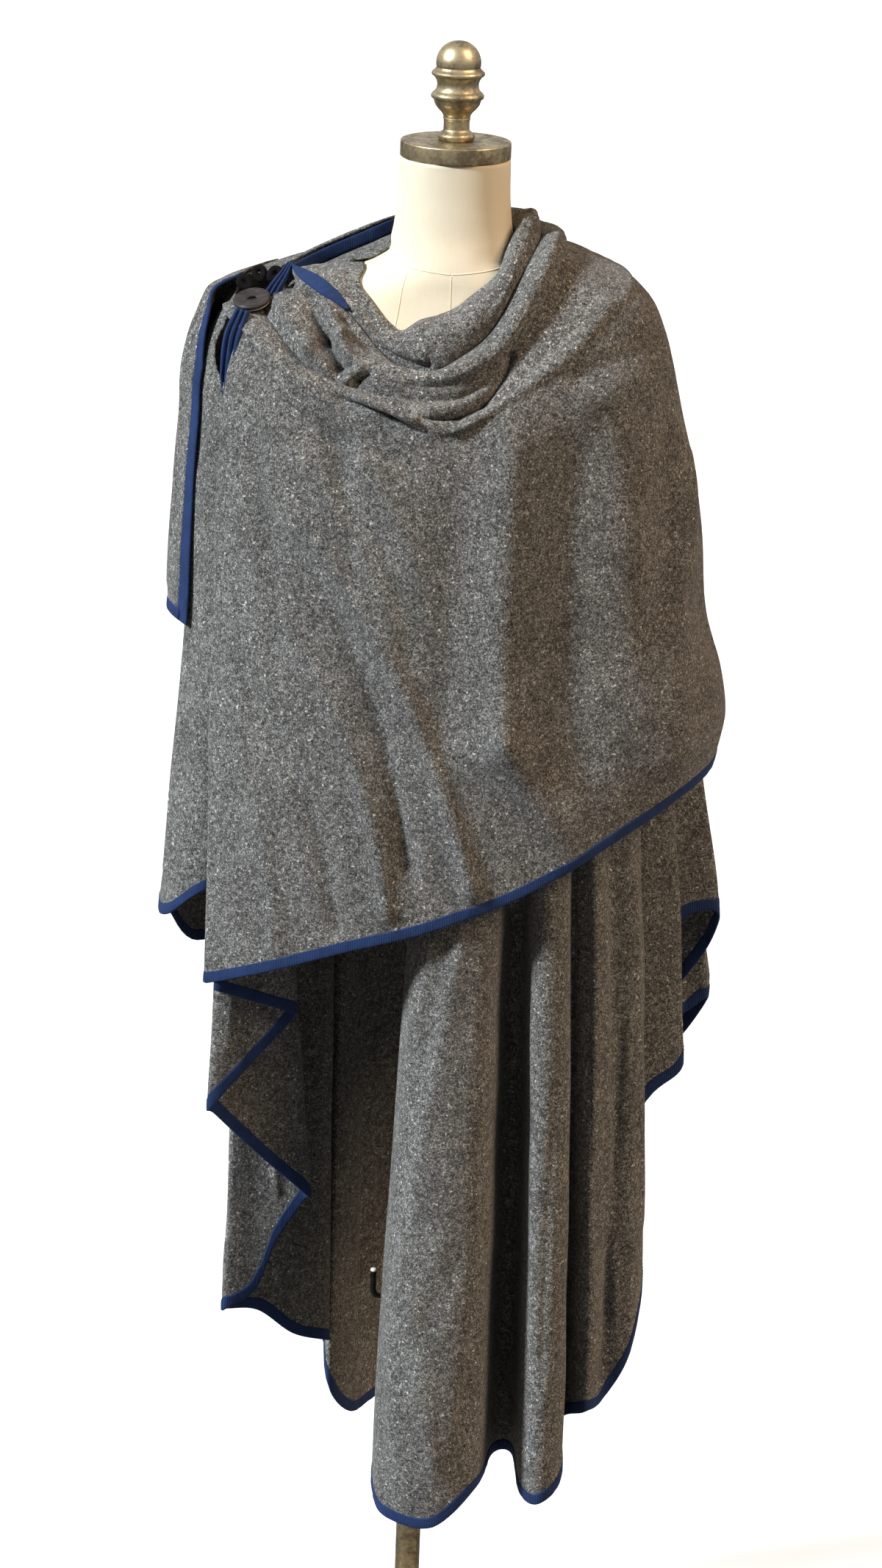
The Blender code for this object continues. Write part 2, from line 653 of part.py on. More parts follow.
def make_buttons(parent):
    """The large horn button with its two holes, and three small black ones behind it."""
    radius, thick = 0.0180, 0.0050
    edge = radius - thick / 2
    outline = [(0, -0.0079), (0.0018, -0.0079), (0.0018, 0), (edge, 0)]
    outline += arc((edge, thick / 2), thick / 2, -60, 75, 3)
    outline += [(0.0135, 0.0042), (0, 0.0034)]
    tilt = (math.radians(20), math.radians(-10), 0)
    horn_button = turned("horn_button", outline, horn(), parent, 22, HORN_PLACE, tilt)
    reach, bore = 0.02, 0.0012
    drill = [(0, -reach), (bore, -reach), (bore, reach), (0, reach)]
    for k, side in enumerate((-0.0036, 0.0036)):
        hole = turned(f"hole_{k}", drill, horn(), None, 8)
        hole.parent = horn_button
        hole.location = (side, 0, 0)
        hole.hide_render = True
        cut = horn_button.modifiers.new(f"hole_{k}", "BOOLEAN")
        cut.object = hole
    for k, (place, turn, lean) in enumerate(BLACK_PLACES):
        size = 0.0085
        disc = [(0, 0), (size - 0.0015, 0)] + arc((size - 0.0015, 0.0016), 0.0015, -70, 80, 2)
        disc += [(0.0048, 0.0026), (0, 0.0022)]
        turned(f"black_button_{k + 1}", disc, jet(), parent, 14, place,
               (math.radians(lean), 0, math.radians(turn)))


def make_cloth(parent):
    """Every stretch of wool and its binding."""
    cloth("cowl_inner_roll", inner_roll_points(), wool(), parent)
    cloth("cowl_outer_rolls", outer_roll_points(), wool(), parent)
    outer = outer_points()
    seam = 21
    for name, columns in (("front_wrap", (0, seam + 1)), ("back_wrap", (seam, None))):
        cloth(name, outer, wool(), parent, CLOTH, (0, -1), columns)
        cloth("binding_" + name, outer, ribbon(), parent, BAND_WALL, (-2, None), columns)
    under = under_points()
    first = 0
    names = ("left_front_panel", "left_side_drape", "back_panel", "right_cascade")
    for name, rows in zip(names, (LEFT_FRONT, LEFT_SIDE, BACK, CASCADE)):
        last = min(first + PER_FOLD * len(rows["x"]), under.shape[1] - 1)
        columns = (first, last + 1)
        cloth(name, under, wool(), parent, CLOTH, (0, -1), columns)
        cloth("binding_" + name, under, ribbon(), parent, CLOTH, (-2, None), columns)
        first = last
    cloth("binding_back_neck", back_collar_points(), ribbon(), parent, BAND_WALL)
    cloth("binding_front_neck", front_neck_points(), ribbon(), parent, BAND_WALL)
    tail = tail_points()
    cloth("tail", tail, wool(), parent, CLOTH, (0, -1), (1, None))
    cloth("binding_tail_hem", tail, ribbon(), parent, BAND_WALL, (-2, None), (1, None))
    cloth("binding_tail_edge", tail, ribbon(), parent, BAND_WALL, (0, None), (0, 2))


def main():
    for item in list(bpy.data.objects):
        bpy.data.objects.remove(item)
    carried = bpy.data.objects.new("height_slide", None)
    bpy.context.collection.objects.link(carried)
    make_torso(carried)
    make_cap_and_finial(carried)
    make_pole(carried)
    make_stand()
    make_cloth(carried)
    make_gathers(carried)
    make_buttons(carried)


main()
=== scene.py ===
"""Looks of the convertible wrap cape: heather wool with blue bindings on a linen dress form.

Metres, +Z up, the garment's front towards -Y. Azimuth 0 is the front, 90 the image's right.
Every cloth is a thin shell worked out on a grid of two parameters: how far round, and how
far down. Listed creases then lift or press it along its normals.
"""
import math

import bmesh
import bpy
import numpy as np
from mathutils import Euler, Matrix, Vector


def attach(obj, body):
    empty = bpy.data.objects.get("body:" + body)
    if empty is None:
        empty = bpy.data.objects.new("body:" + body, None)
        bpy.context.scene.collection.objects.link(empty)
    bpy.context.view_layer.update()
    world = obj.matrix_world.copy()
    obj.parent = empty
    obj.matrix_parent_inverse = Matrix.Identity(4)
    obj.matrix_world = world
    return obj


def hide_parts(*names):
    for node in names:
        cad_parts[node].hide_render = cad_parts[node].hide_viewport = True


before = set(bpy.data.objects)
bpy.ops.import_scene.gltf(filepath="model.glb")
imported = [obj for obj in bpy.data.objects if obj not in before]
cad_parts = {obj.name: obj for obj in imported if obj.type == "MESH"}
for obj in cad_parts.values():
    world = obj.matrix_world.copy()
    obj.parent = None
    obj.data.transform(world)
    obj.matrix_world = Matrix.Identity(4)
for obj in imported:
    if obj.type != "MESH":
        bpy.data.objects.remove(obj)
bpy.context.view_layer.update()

bl_info = {
    "name": "Convertible wrap cape",
    "version": (1, 0, 0),
    "blender": (4, 5, 0),
    "location": "3D View > Sidebar > Cape",
    "description": "Cloth, bindings, buttons, dress form and stand of a wool wrap cape",
    "category": "Object",
}

# Power of the superellipse that every level section follows
ROUND = 2.2
# Heights in metres: where the hanging cloth leaves the form, and the ends of the form's parts
HANG = 1.28
CAP_TOP = 1.620
TORSO_FOOT = 0.925
TORSO_TOP = 1.604
# Length on the cloth for one degree round the body, at a mean radius of 0.21 m
ARM = math.radians(1) * 0.21
# Length on the cloth for one step of place over the rolls of the neck
NECK_STEP = 0.036
# Half the gap between two rolls at the crease where they meet
HALF_GAP = 0.0009
# Azimuths of the outer layer's tucked end, at its top and below
TUCKED_TOP, TUCKED_END = 280, 291
# Grid rows that a hem's binding covers
WIDE_BAND, NARROW_BAND = 8, 6


def table(names, *rows):
    """Return a table as one array for each named column; a column marked mm becomes metres."""
    columns = zip(names.split(), np.array(rows, float).T)
    return {name.removesuffix("_mm"): values / (1000 if name.endswith("_mm") else 1)
            for name, values in columns}


# Level sections, from the top down: half width to each side, depth to front and back.
# FORM is the torso, UNDER the hanging cloth where it lies on it, OUTER the outer layer.
SECTION = "height_mm right_mm left_mm front_mm back_mm"
FORM = table(
    SECTION,
    (1604, 52.5, 52.5, 50, 50), (1560, 54, 54, 51, 51), (1530, 58, 58, 54, 55),
    (1508, 65, 65, 60, 64), (1498, 85, 85, 62, 71), (1484, 125, 125, 63.5, 80),
    (1466, 155, 155, 67, 88), (1440, 172, 172, 75, 96), (1400, 178, 178, 90, 106),
    (1330, 166, 166, 112, 112), (1280, 152, 152, 120, 109), (1200, 134, 134, 106, 96),
    (1100, 118, 118, 86, 84), (1000, 130, 130, 94, 96), (960, 136, 136, 97, 100),
    (TORSO_FOOT * 1000, 134, 134, 93, 95),
)
UNDER = table(
    SECTION,
    (1466, 156.4, 156.4, 68.4, 89.4), (1440, 173.4, 173.4, 76.4, 97.4), (1400, 180, 180, 92, 108),
    (1330, 190, 190, 115, 116), (1280, 196, 196, 124.5, 120),
)
OUTER = table(
    SECTION,
    (1550, 70, 70, 45, 85), (1530, 95, 95, 58, 90), (1515, 135, 125, 72, 100),
    (1480, 186, 196, 98, 118), (1445, 205, 220, 116, 128), (1410, 216, 236, 128, 134),
    (1350, 228, 241, 138, 141), (1300, 240, 243, 144, 146), (1250, 248, 243, 147, 149),
    (1160, 257, 243, 151, 153), (1100, 274, 247, 154, 156), (1060, 279, 250, 157, 158),
    (1020, 272, 253, 158.5, 159), (950, 266, 258, 161, 162), (800, 262, 270, 165, 166),
)

# The draped neck: three creases and the bulge of each roll between them, by azimuth
COWL = table(
    "azimuth foot_mm r1_mm z1_mm r2_mm z2_mm z3_mm bulge1_mm bulge2_mm bulge3_mm",
    (-88, 1500, 151, 1494, 179, 1462, 1456, 2, 3, 3),
    (-70, 1496, 135, 1486, 176, 1447, 1440, 2, 5, 5),
    (-55, 1480, 115, 1464, 160, 1416, 1409, 3, 9, 6),
    (-40, 1456, 105, 1436, 139, 1400, 1388, 5, 13, 9),
    (-32, 1449, 103, 1425, 134, 1398, 1379, 9, 15, 12),
    (-22, 1459, 102, 1416, 129, 1396, 1368, 13, 16, 14),
    (-10, 1464, 101, 1415, 124, 1394, 1361, 16, 17, 13),
    (5, 1472, 99, 1430, 121, 1398, 1369, 18, 18, 7),
    (20, 1486, 97, 1449, 119, 1415, 1388, 19, 18, -1),
    (45, 1508, 92, 1504, 114, 1474, 1430, 21, 18, -2),
    (70, 1528, 86, 1530, 110, 1516, 1480, 23, 15, 0),
    (90, 1534, 83, 1530, 108, 1519, 1495, 24, 13, 1),
    (115, 1534, 86, 1534, 114, 1517, 1500, 18, 10, 2),
    (145, 1532, 88, 1542, 107, 1521, 1500, 9, 5, 2),
    (180, 1527, 88, 1540, 105, 1520, 1498, 5, 3, 2),
    (215, 1520, 89, 1534, 108, 1514, 1496, 2, 3, 2),
    (240, 1514, 99, 1523, 122, 1506, 1492, 2, 4, 2),
    (264, 1502, 150, 1497, 168, 1485, 1476, 2, 2, 2),
)
# Lower edge of the outer layer, by azimuth
HEM = table(
    "azimuth height_mm",
    (-64, 806), (-50, 829), (-30, 857), (0, 886), (30, 923), (60, 984), (75, 1013), (90, 1023),
    (110, 1015), (145, 990), (180, 945), (222, 838), (240, 786), (250, 784), (260, 828), (268, 850),
    (276, 850), (283, 862), (291, 898),
)
# Left fold of the front wrap, by height
FOLD = table(
    "height_mm azimuth",
    (1470, -72), (1443, -71), (1400, -70), (1341, -70), (1130, -69), (950, -65), (800, -63),
)
# How far the hanging end stands off the outer layer, by height
TAIL = table(
    "height_mm lift_mm",
    (1486, 7.5), (1476, 19), (1455, 18.5), (1410, 12), (1360, 9.5), (1290, 11.5), (1190, 18),
    (1150, 19),
)

# Hanging sheets: where each crest or valley starts, and where it ends at the hem
HANGING = table(
    "azimuth x_mm y_mm hem_mm",
    (2, -35, -94, 300), (8, -37, -120, 282), (14, -24, -158, 270), (20, 24, -172, 266),
    (26, 66, -146, 300), (30, 82, -48, 290), (35, 102, -46, 290), (39, 110, -122, 284),
    (43, 128, -144, 282), (47, 150, -122, 300), (51, 149, -72, 340), (56, 172, -110, 368),
    (61, 190, -84, 370), (66, 215, -78, 420), (70, 222, -44, 500), (75, 180, -35, 596),
    (79, 224, -29, 674), (83, 256, -18, 712), (87, 206, 0, 780), (91, 250, 18, 846),
    (95, 286, 28, 852), (99, 280, 50, 808), (103, 250, 66, 752), (107, 260, 87, 724),
    (111, 284, 94, 738), (116, 266, 116, 694), (122, 222, 132, 630), (129, 205, 106, 590),
    (137, 172, 162, 505), (145, 150, 128, 455), (153, 118, 174, 385), (161, 90, 142, 340),
    (169, 56, 180, 300), (178, 22, 148, 280), (188, -14, 178, 270), (198, -46, 140, 260),
    (208, -66, 104, 262), (216, -87, 70, 302), (222, -94, 82, 350), (227, -91, 38, 371),
    (233, -125, 16, 387), (240, -160, 0, 418), (246, -189, -26, 430), (250, -192, -42, 436),
    (255, -162, -29, 454), (260, -143, -21, 503), (265, -116, -16, 546), (269, -114, -30, 558),
    (274, -157, -56, 606), (279, -203, -86, 662), (282, -206, -100, 676), (286, -168, -82, 718),
    (290, -132, -64, 756), (293, -131, -77, 768), (296, -160, -92, 782), (299, -206, -113, 802),
)

# Creases: from one place to another on a cloth, with width, lift at each end and bow.
# A trough has a negative lift. Places are in each cloth's own two coordinates, where an
# azimuth is in degrees and a height in metres.
CREASE = "a0 b0 a1 b1 width_mm lift0_mm lift1_mm bow_mm"
WRAP_CREASES = table(
    CREASE,
    (-56, 1.31, 14, 0.93, 13, 2.4, 7.5, -30), (-60, 1.29, -8, 0.95, 13, -2, -7, -34),
    (-60, 1.22, -14, 0.905, 12, 1.6, 6, -30), (-62, 1.12, -30, 0.89, 12, -1.4, -4.5, -20),
    (-60, 1.06, -46, 0.86, 10, 1.4, 3.6, -10), (-62, 1.375, -16, 1.18, 15, 2.6, 4, -16),
    (-64, 1.36, -50, 1.14, 11, -4, -1.6, -8), (-43, 1.378, -30, 1.23, 12, -5, -1.4, -10),
    (-30, 1.345, -4, 1.18, 20, 3, 1.4, -12), (-42, 1.372, -34, 1.352, 9, -5, -4, -2),
    (-36, 1.358, -12, 1.338, 9, -4, -3, -1), (24, 1.35, 22, 1.08, 30, 8, 8.5, 4),
    (22, 1.08, 42, 0.965, 22, 8, 4, 0), (4, 1.3, 3, 1.08, 26, -2, -2.6, 0),
    (46, 1.34, 44, 1.06, 28, -6, -7, 10), (58, 1.4, 60, 1.1, 20, 2, 3, 6),
    (84, 1.33, 66, 1.05, 20, 4, 5.5, 12), (77, 1.4, 68, 1.2, 12, -2, -3, 6),
    (48, 1.418, 74, 1.44, 10, -4, -1, -4), (50, 1.395, 80, 1.405, 14, 3, 1, -6),
    (92, 1.42, 88, 1.15, 16, -3, -4, 4), (102, 1.4, 96, 1.06, 18, 4, 4, 4),
    (118, 1.45, 112, 1.08, 18, -3, -5, 8), (250, 1.44, 150, 1.18, 18, 3, 5, -30),
    (252, 1.42, 168, 1.06, 16, -3, -6, -36), (256, 1.39, 196, 1, 15, 3, 6, -30),
    (260, 1.36, 222, 0.95, 15, -2, -5, -20), (262, 1.32, 244, 0.9, 13, 2, 5, -10),
    (240, 1.455, 130, 1.33, 18, -3, -3, -20), (200, 1.47, 140, 1.42, 14, 3, 2, -10),
    (270, 1.33, 268, 0.91, 10, -2, -4, 4), (278, 1.3, 279, 0.9, 10, 2.5, 4, 4),
)
# Places on the draped neck: azimuth, and 0 to 1 to 2 to 3 from its foot over the three rolls
COWL_CREASES = table(
    CREASE,
    (-34, 0.8, -10, 0.92, 2.6, -3, -7, 0), (-40, 0.66, -12, 0.74, 4, 1, 2.2, 0),
    (-70, 0.35, -40, 0.5, 6, -1.2, -2, 0), (-24, 0.3, 14, 0.55, 7, 1.6, 1, 0),
    (22, 0.55, 70, 0.62, 5, -2, -1.4, 0), (46, 0.3, 96, 0.34, 5, -1.2, -2, 0),
    (-84, 1.16, -77, 1.42, 6, -8, -7, 0), (-76, 1.6, -56, 1.78, 5, 3, 5.6, 0),
    (-56, 1.78, -47, 1.86, 4.4, 5.6, 3, 0), (-68, 1.2, -54, 1.46, 5, -5, -10, 0),
    (-54, 1.46, -46, 1.68, 4.4, -10, -8, 0), (-61, 1.14, -51, 1.34, 3.4, 4, 5.6, 0),
    (-51, 1.34, -40, 1.58, 3.4, 5.6, 3.4, 0), (-54, 1.04, -38, 1.14, 4, -6, -3.4, 0),
    (-46, 1.82, -41, 1.62, 2.6, -8, -5, 0), (-42, 1.9, -37, 1.62, 2.6, 5, 3.4, 0),
    (-38, 1.88, -33, 1.66, 2.6, -7, -4, 0), (-26, 1.3, 14, 1.42, 6, 2, 1.4, 0),
    (-16, 1.74, 30, 1.78, 6, -3, -4, 0), (30, 1.3, 66, 1.36, 5, 1.6, 2, 0),
    (34, 1.72, 84, 1.66, 5, -3, -2, 0), (-30, 2.2, -14, 2.36, 3.6, -4.6, -6, 0),
    (-32, 2.5, -12, 2.56, 4, 3, 3.4, 0), (-38, 2.8, -22, 2.8, 6, -5, -12, 0),
    (-22, 2.8, -8, 2.88, 5.6, -12, -3, 0), (-13, 2.44, 5, 2.66, 3.6, -1.2, -9, 0),
    (5, 2.66, 15, 2.52, 3.6, -9, -8, 0), (15, 2.52, 30, 2.06, 3.6, -8, -5, 0),
    (-6, 2.3, 16, 2.26, 3.6, 3, 2.4, 0), (4, 2.9, 66, 2.88, 5, 3.4, 2.4, 0),
    (104, 0.6, 150, 0.5, 6, -2, -1.4, 3), (120, 1.45, 176, 1.55, 5, -1.4, -1.8, 3),
    (190, 1.5, 236, 1.45, 5, 1.2, -1.2, 2), (110, 2.4, 168, 2.5, 6, 1, 1.4, 2),
    (200, 2.55, 250, 2.45, 6, -1, -1.4, 2),
)
# Places on the hanging cloth: the number of its crest or valley, and the height
HANGING_CREASES = table(
    CREASE,
    (3.3, 1, 2.3, 0.62, 10, 3, 2, 4), (2.7, 0.9, 1.7, 0.52, 9, -2.6, -2, 4),
    (3.4, 0.56, 2.2, 0.42, 8, -2.4, -3, 3), (2.4, 0.5, 3, 0.33, 9, 2.6, 3, 3),
    (3.8, 0.47, 3.5, 0.32, 7, -4, -3, 2), (1.6, 0.42, 2, 0.3, 8, -2, -3, 2),
    (7.2, 0.85, 7.6, 0.45, 8, 2, 2, 4), (8.4, 0.72, 8, 0.42, 7, -1.6, -2.4, 3),
    (10.6, 0.98, 11.4, 0.56, 9, -3, -2.4, 6), (11.6, 0.9, 12.4, 0.47, 10, 2.4, 3, 6),
    (12.5, 0.76, 12, 0.42, 8, -2, -3, 4), (13.2, 0.92, 13.6, 0.56, 9, 2.4, 2, 4),
    (17.6, 0.98, 17.2, 0.76, 8, -2, -2, 3), (20.4, 1.15, 20.8, 0.88, 10, 3, 2, 4),
    (22.4, 1.1, 21.6, 0.82, 9, -2.4, -2.4, 4), (24.6, 1.05, 24, 0.76, 10, 2.4, 2.4, 4),
    (28.3, 1, 28, 0.56, 10, 3, 2, 5), (30.2, 1, 30.6, 0.46, 10, -2.4, -3, 5),
    (32.4, 0.95, 31.8, 0.4, 11, 3, 3, 6), (34.2, 0.98, 34.8, 0.38, 11, -2.4, -3, 6),
    (36.2, 0.9, 35.6, 0.36, 10, 2.4, 2.4, 5), (41.5, 0.9, 41.9, 0.52, 8, -2, -2.6, 3),
    (42.4, 0.82, 42, 0.48, 8, 2, 2.4, 3), (45.5, 0.9, 45, 0.56, 8, 2, 2, 3),
    (48.5, 0.95, 48.7, 0.68, 8, -2.2, -2.2, 3), (50.8, 0.96, 50.4, 0.74, 8, 2, 2.2, 3),
)
# Places on the hanging end: 0 at its front edge to 1 at its back edge, and the height
TAIL_CREASES = table(
    CREASE,
    (0.2, 1.47, 0.26, 1.18, 8, -3, -3.4, 3), (0.36, 1.46, 0.42, 1.17, 10, 3, 4, 4),
    (0.52, 1.46, 0.6, 1.18, 9, -2.4, -4, 4), (0.7, 1.44, 0.76, 1.19, 10, 2.4, 3.4, 4),
    (0.84, 1.4, 0.9, 1.2, 8, -2, -2.6, 3),
)
# Outline of the finial from its tip down, from the top of the neck cap
FINIAL = table(
    "height_mm radius_mm",
    (94, 1), (92.5, 8.2), (88.5, 14.6), (83, 18.7), (77, 20.9), (71.5, 21.2), (69, 20.8),
    (66.8, 22.2), (64.5, 24.8), (62, 25), (60.2, 22.8), (57, 20.7), (53.5, 19.7), (50, 20),
    (47, 21.4), (44.7, 24), (42.5, 25.1), (40.2, 24.6), (38.8, 22.6), (37, 22.1), (33.5, 20.8),
    (30, 18.2), (27, 15.2), (24.5, 13.4), (22.2, 12.8), (20.5, 13), (19, 12.4), (13, 12.3),
    (10, 12.6), (8.4, 14.2), (6.2, 17), (4, 17.8), (1.8, 17), (0.3, 16),
)


def spline(keys, values, at):
    """Smooth curve through the values: cubic pieces whose slopes are central differences."""
    keys, values, at = (np.asarray(v, float) for v in (keys, values, at))
    slopes = np.gradient(values, keys)
    k = np.clip(np.searchsorted(keys, at, side="right") - 1, 0, len(keys) - 2)
    width = keys[k + 1] - keys[k]
    t = (at - keys[k]) / width
    start = (1 + 2 * t) * (1 - t) ** 2 * values[k] + t * (1 - t) ** 2 * width * slopes[k]
    end = t * t * (3 - 2 * t) * values[k + 1] + t * t * (t - 1) * width * slopes[k + 1]
    return start + end


def along(rows, name, azimuth):
    """Read one column of a table at the given azimuths."""
    return spline(rows["azimuth"], rows[name], azimuth)


def by_height(rows, name, height):
    """Read one column of a table that runs downwards, held at its first and last rows."""
    keys = -rows["height"]
    return spline(keys, rows[name], np.clip(-height, keys[0], keys[-1]))


def ramp(value, start, run):
    """Rise evenly from 0 at the start to 1 after the run, which may be negative."""
    return np.clip((value - start) / run, 0, 1)


def ring(section, height, azimuth):
    """Radius of a level section: a superellipse met by a ray at the azimuth.

    r = ((|sin| / side) ** n + (|cos| / depth) ** n) ** (-1 / n), n being ROUND. Between
    its rows the section follows a smooth curve.
    """
    turn = np.radians(azimuth)
    right, left, front, back = (
        by_height(section, name, height) for name in ("right", "left", "front", "back"))
    side = np.where(np.sin(turn) > 0, right, left)
    depth = np.where(np.cos(turn) > 0, front, back)
    share = (np.abs(np.sin(turn)) / side) ** ROUND + (np.abs(np.cos(turn)) / depth) ** ROUND
    return share ** (-1 / ROUND)


def at_azimuth(radius, azimuth, height):
    """Points at a radius and azimuth round the pole."""
    turn = np.radians(azimuth)
    return np.stack(np.broadcast_arrays(
        radius * np.sin(turn), -radius * np.cos(turn), height), axis=-1)


def unit(vectors):
    """Vectors brought to length 1."""
    return vectors / np.maximum(np.linalg.norm(vectors, axis=-1, keepdims=True), 1e-9)


def normals(points):
    """Unit normals of a grid: across the mean of the unit steps on each side, both ways."""
    means = []
    for axis in (0, 1):
        lines = np.swapaxes(points, 0, axis)
        step = unit(np.diff(lines, axis=0))
        mean = np.concatenate([step[:1], step]) + np.concatenate([step, step[-1:]])
        means.append(np.swapaxes(mean, 0, axis))
    return unit(np.cross(*means))


def lifted(points, lift):
    """A grid moved along its normals."""
    return points + normals(points) * lift[..., None]


def running_length(points, axis=0):
    """Length along the lines of a grid or of one line, from 0 at their first point."""
    length = np.linalg.norm(np.diff(points, axis=axis), axis=-1).cumsum(axis=axis)
    return np.concatenate([np.zeros_like(length.take([0], axis)), length], axis=axis)


def relief(a, b, scale_a, scale_b, rows):
    """Lift of a cloth by the creases of a table, at places a, b measured by the two scales.

    Each crease is a bowed line. Its lift changes evenly from one end to the other and
    falls off across it as exp(-(distance / width) ** 1.7).
    """
    lift = np.zeros(np.broadcast(a, b).shape)
    for k in range(len(rows["a0"])):
        crease = {name: values[k] for name, values in rows.items()}
        step_a = (crease["a1"] - crease["a0"]) * scale_a
        step_b = (crease["b1"] - crease["b0"]) * scale_b
        from_a = (a - crease["a0"]) * scale_a
        from_b = (b - crease["b0"]) * scale_b
        length = np.sqrt(step_a ** 2 + step_b ** 2)
        run = from_a * step_a + from_b * step_b
        t = np.clip(run / length ** 2, 0, 1)
        side = (from_a * step_b - from_b * step_a) / length - crease["bow"] * 4 * t * (1 - t)
        past = np.abs(run / length - t * length)
        away = np.sqrt(side ** 2 + past ** 2) / crease["width"]
        lift += (crease["lift0"] + (crease["lift1"] - crease["lift0"]) * t) * np.exp(-away ** 1.7)
    return sizes().crease_depth * lift


def neck_creases(azimuth):
    """Radius and height of the draped neck's foot and its three creases."""
    foot = along(COWL, "foot", azimuth)
    low = along(COWL, "z3", azimuth)
    return (
        (ring(FORM, foot, azimuth) + 0.0018, foot + 0.0010),
        (along(COWL, "r1", azimuth), along(COWL, "z1", azimuth)),
        (along(COWL, "r2", azimuth), along(COWL, "z2", azimuth)),
        (ring(OUTER, low, azimuth) + 0.0012, low + 0.0012),
    )


def ripple(a, b, size):
    """Slow unevenness of hand-hung cloth: three crossing waves of unlike lengths."""
    waves = np.sin(a * 31 + b * 17) + np.sin(a * 13 - b * 37 + 1.3) + np.sin(a * 53 + b * 41 + 2.1)
    return size * waves / 3


def roll(inner, outer, bulge, count):
    """Radii and heights of a roll that arches from one crease to the next.

    The arch is the chord plus bulge * sin(pi * s) ** 0.8 along the chord's upper normal.
    """
    s = np.linspace(0, 1, count + 1)[:, None]
    across, drop = outer[0] - inner[0], outer[1] - inner[1]
    length = np.hypot(across, drop)
    rise = bulge * np.sin(math.pi * s) ** 0.8
    radius = inner[0] + across * s - rise * drop / length
    height = inner[1] + drop * s + rise * across / length
    return radius, height


def inner_roll_points(rows=22, columns=340):
    """The roll that lies on the neck: arched from its foot to the first crease.

    Behind the neck its outer edge sinks, and the collar stands up behind it.
    """
    azimuth = np.linspace(-87, 262, columns)
    foot, first, _, _ = neck_creases(azimuth)
    collar = ramp(azimuth, 150, 40)
    edge = (first[0] - HALF_GAP - 0.003 * collar, first[1] - 0.0158 * collar)
    radius, height = roll(foot, edge, along(COWL, "bulge1", azimuth), rows)
    place = np.linspace(0, 1, rows + 1)[:, None]
    lift = relief(azimuth, place, ARM * 0.55, NECK_STEP, COWL_CREASES)
    lift += ripple(azimuth * ARM, place, 0.0004)
    return lifted(at_azimuth(radius, azimuth, height), lift * np.sin(math.pi * place) ** 0.3)


def chest_rolls(azimuth, middle_rows=26, low_rows=20):
    """The two outer rolls, as rows that end at the top line of the outer layer."""
    _, first, second, third = neck_creases(azimuth)
    top = (first[0] + HALF_GAP, first[1])
    middle = roll(top, second, along(COWL, "bulge2", azimuth), middle_rows)
    low = roll(second, third, along(COWL, "bulge3", azimuth), low_rows)
    radius, height = (np.concatenate([upper, lower[1:]]) for upper, lower in zip(middle, low))
    place = np.concatenate([
        np.linspace(1, 2, middle_rows + 1), np.linspace(2, 3, low_rows + 1)[1:]])[:, None]
    lift = relief(azimuth, place, ARM * 0.62, NECK_STEP, COWL_CREASES)
    lift += ripple(azimuth * ARM, place, 0.0004)
    edges = ramp(place, 1, 0.1) * ramp(place, 3, -0.05)
    return lifted(at_azimuth(radius, azimuth, height), lift * edges)


def outer_top(azimuth):
    """Top line of the outer layer: under the lowest roll, then down past the right shoulder."""
    shoulder = along(COWL, "z3", np.clip(azimuth, -74, 262)) - 0.0025
    return shoulder - 0.050 * ramp(azimuth, 258, 33) ** 0.9


def fold_return(points, inside=16):
    """Columns that turn the left fold of the wrap back behind itself, as a half round.

    Inwards is level, towards a column inside the fold. Behind is square to it.
    """
    edge = points[:, :1]
    inward = points[:, inside:inside + 1] - edge
    inward[..., 2] = 0
    inward = unit(inward)
    behind = np.stack([-inward[..., 1], inward[..., 0], np.zeros_like(inward[..., 0])], axis=-1)
    turn = np.radians(np.linspace(180, 12, 11))
    run = -0.005 * np.sin(turn)
    back = 0.0045 - 0.0045 * np.cos(turn)
    far = np.array([[0.016, 0.0098], [0.009, 0.0096]])
    steps = np.concatenate([far, np.stack([run, back], axis=-1)])
    return edge + inward * steps[None, :, :1] + behind * steps[None, :, 1:]


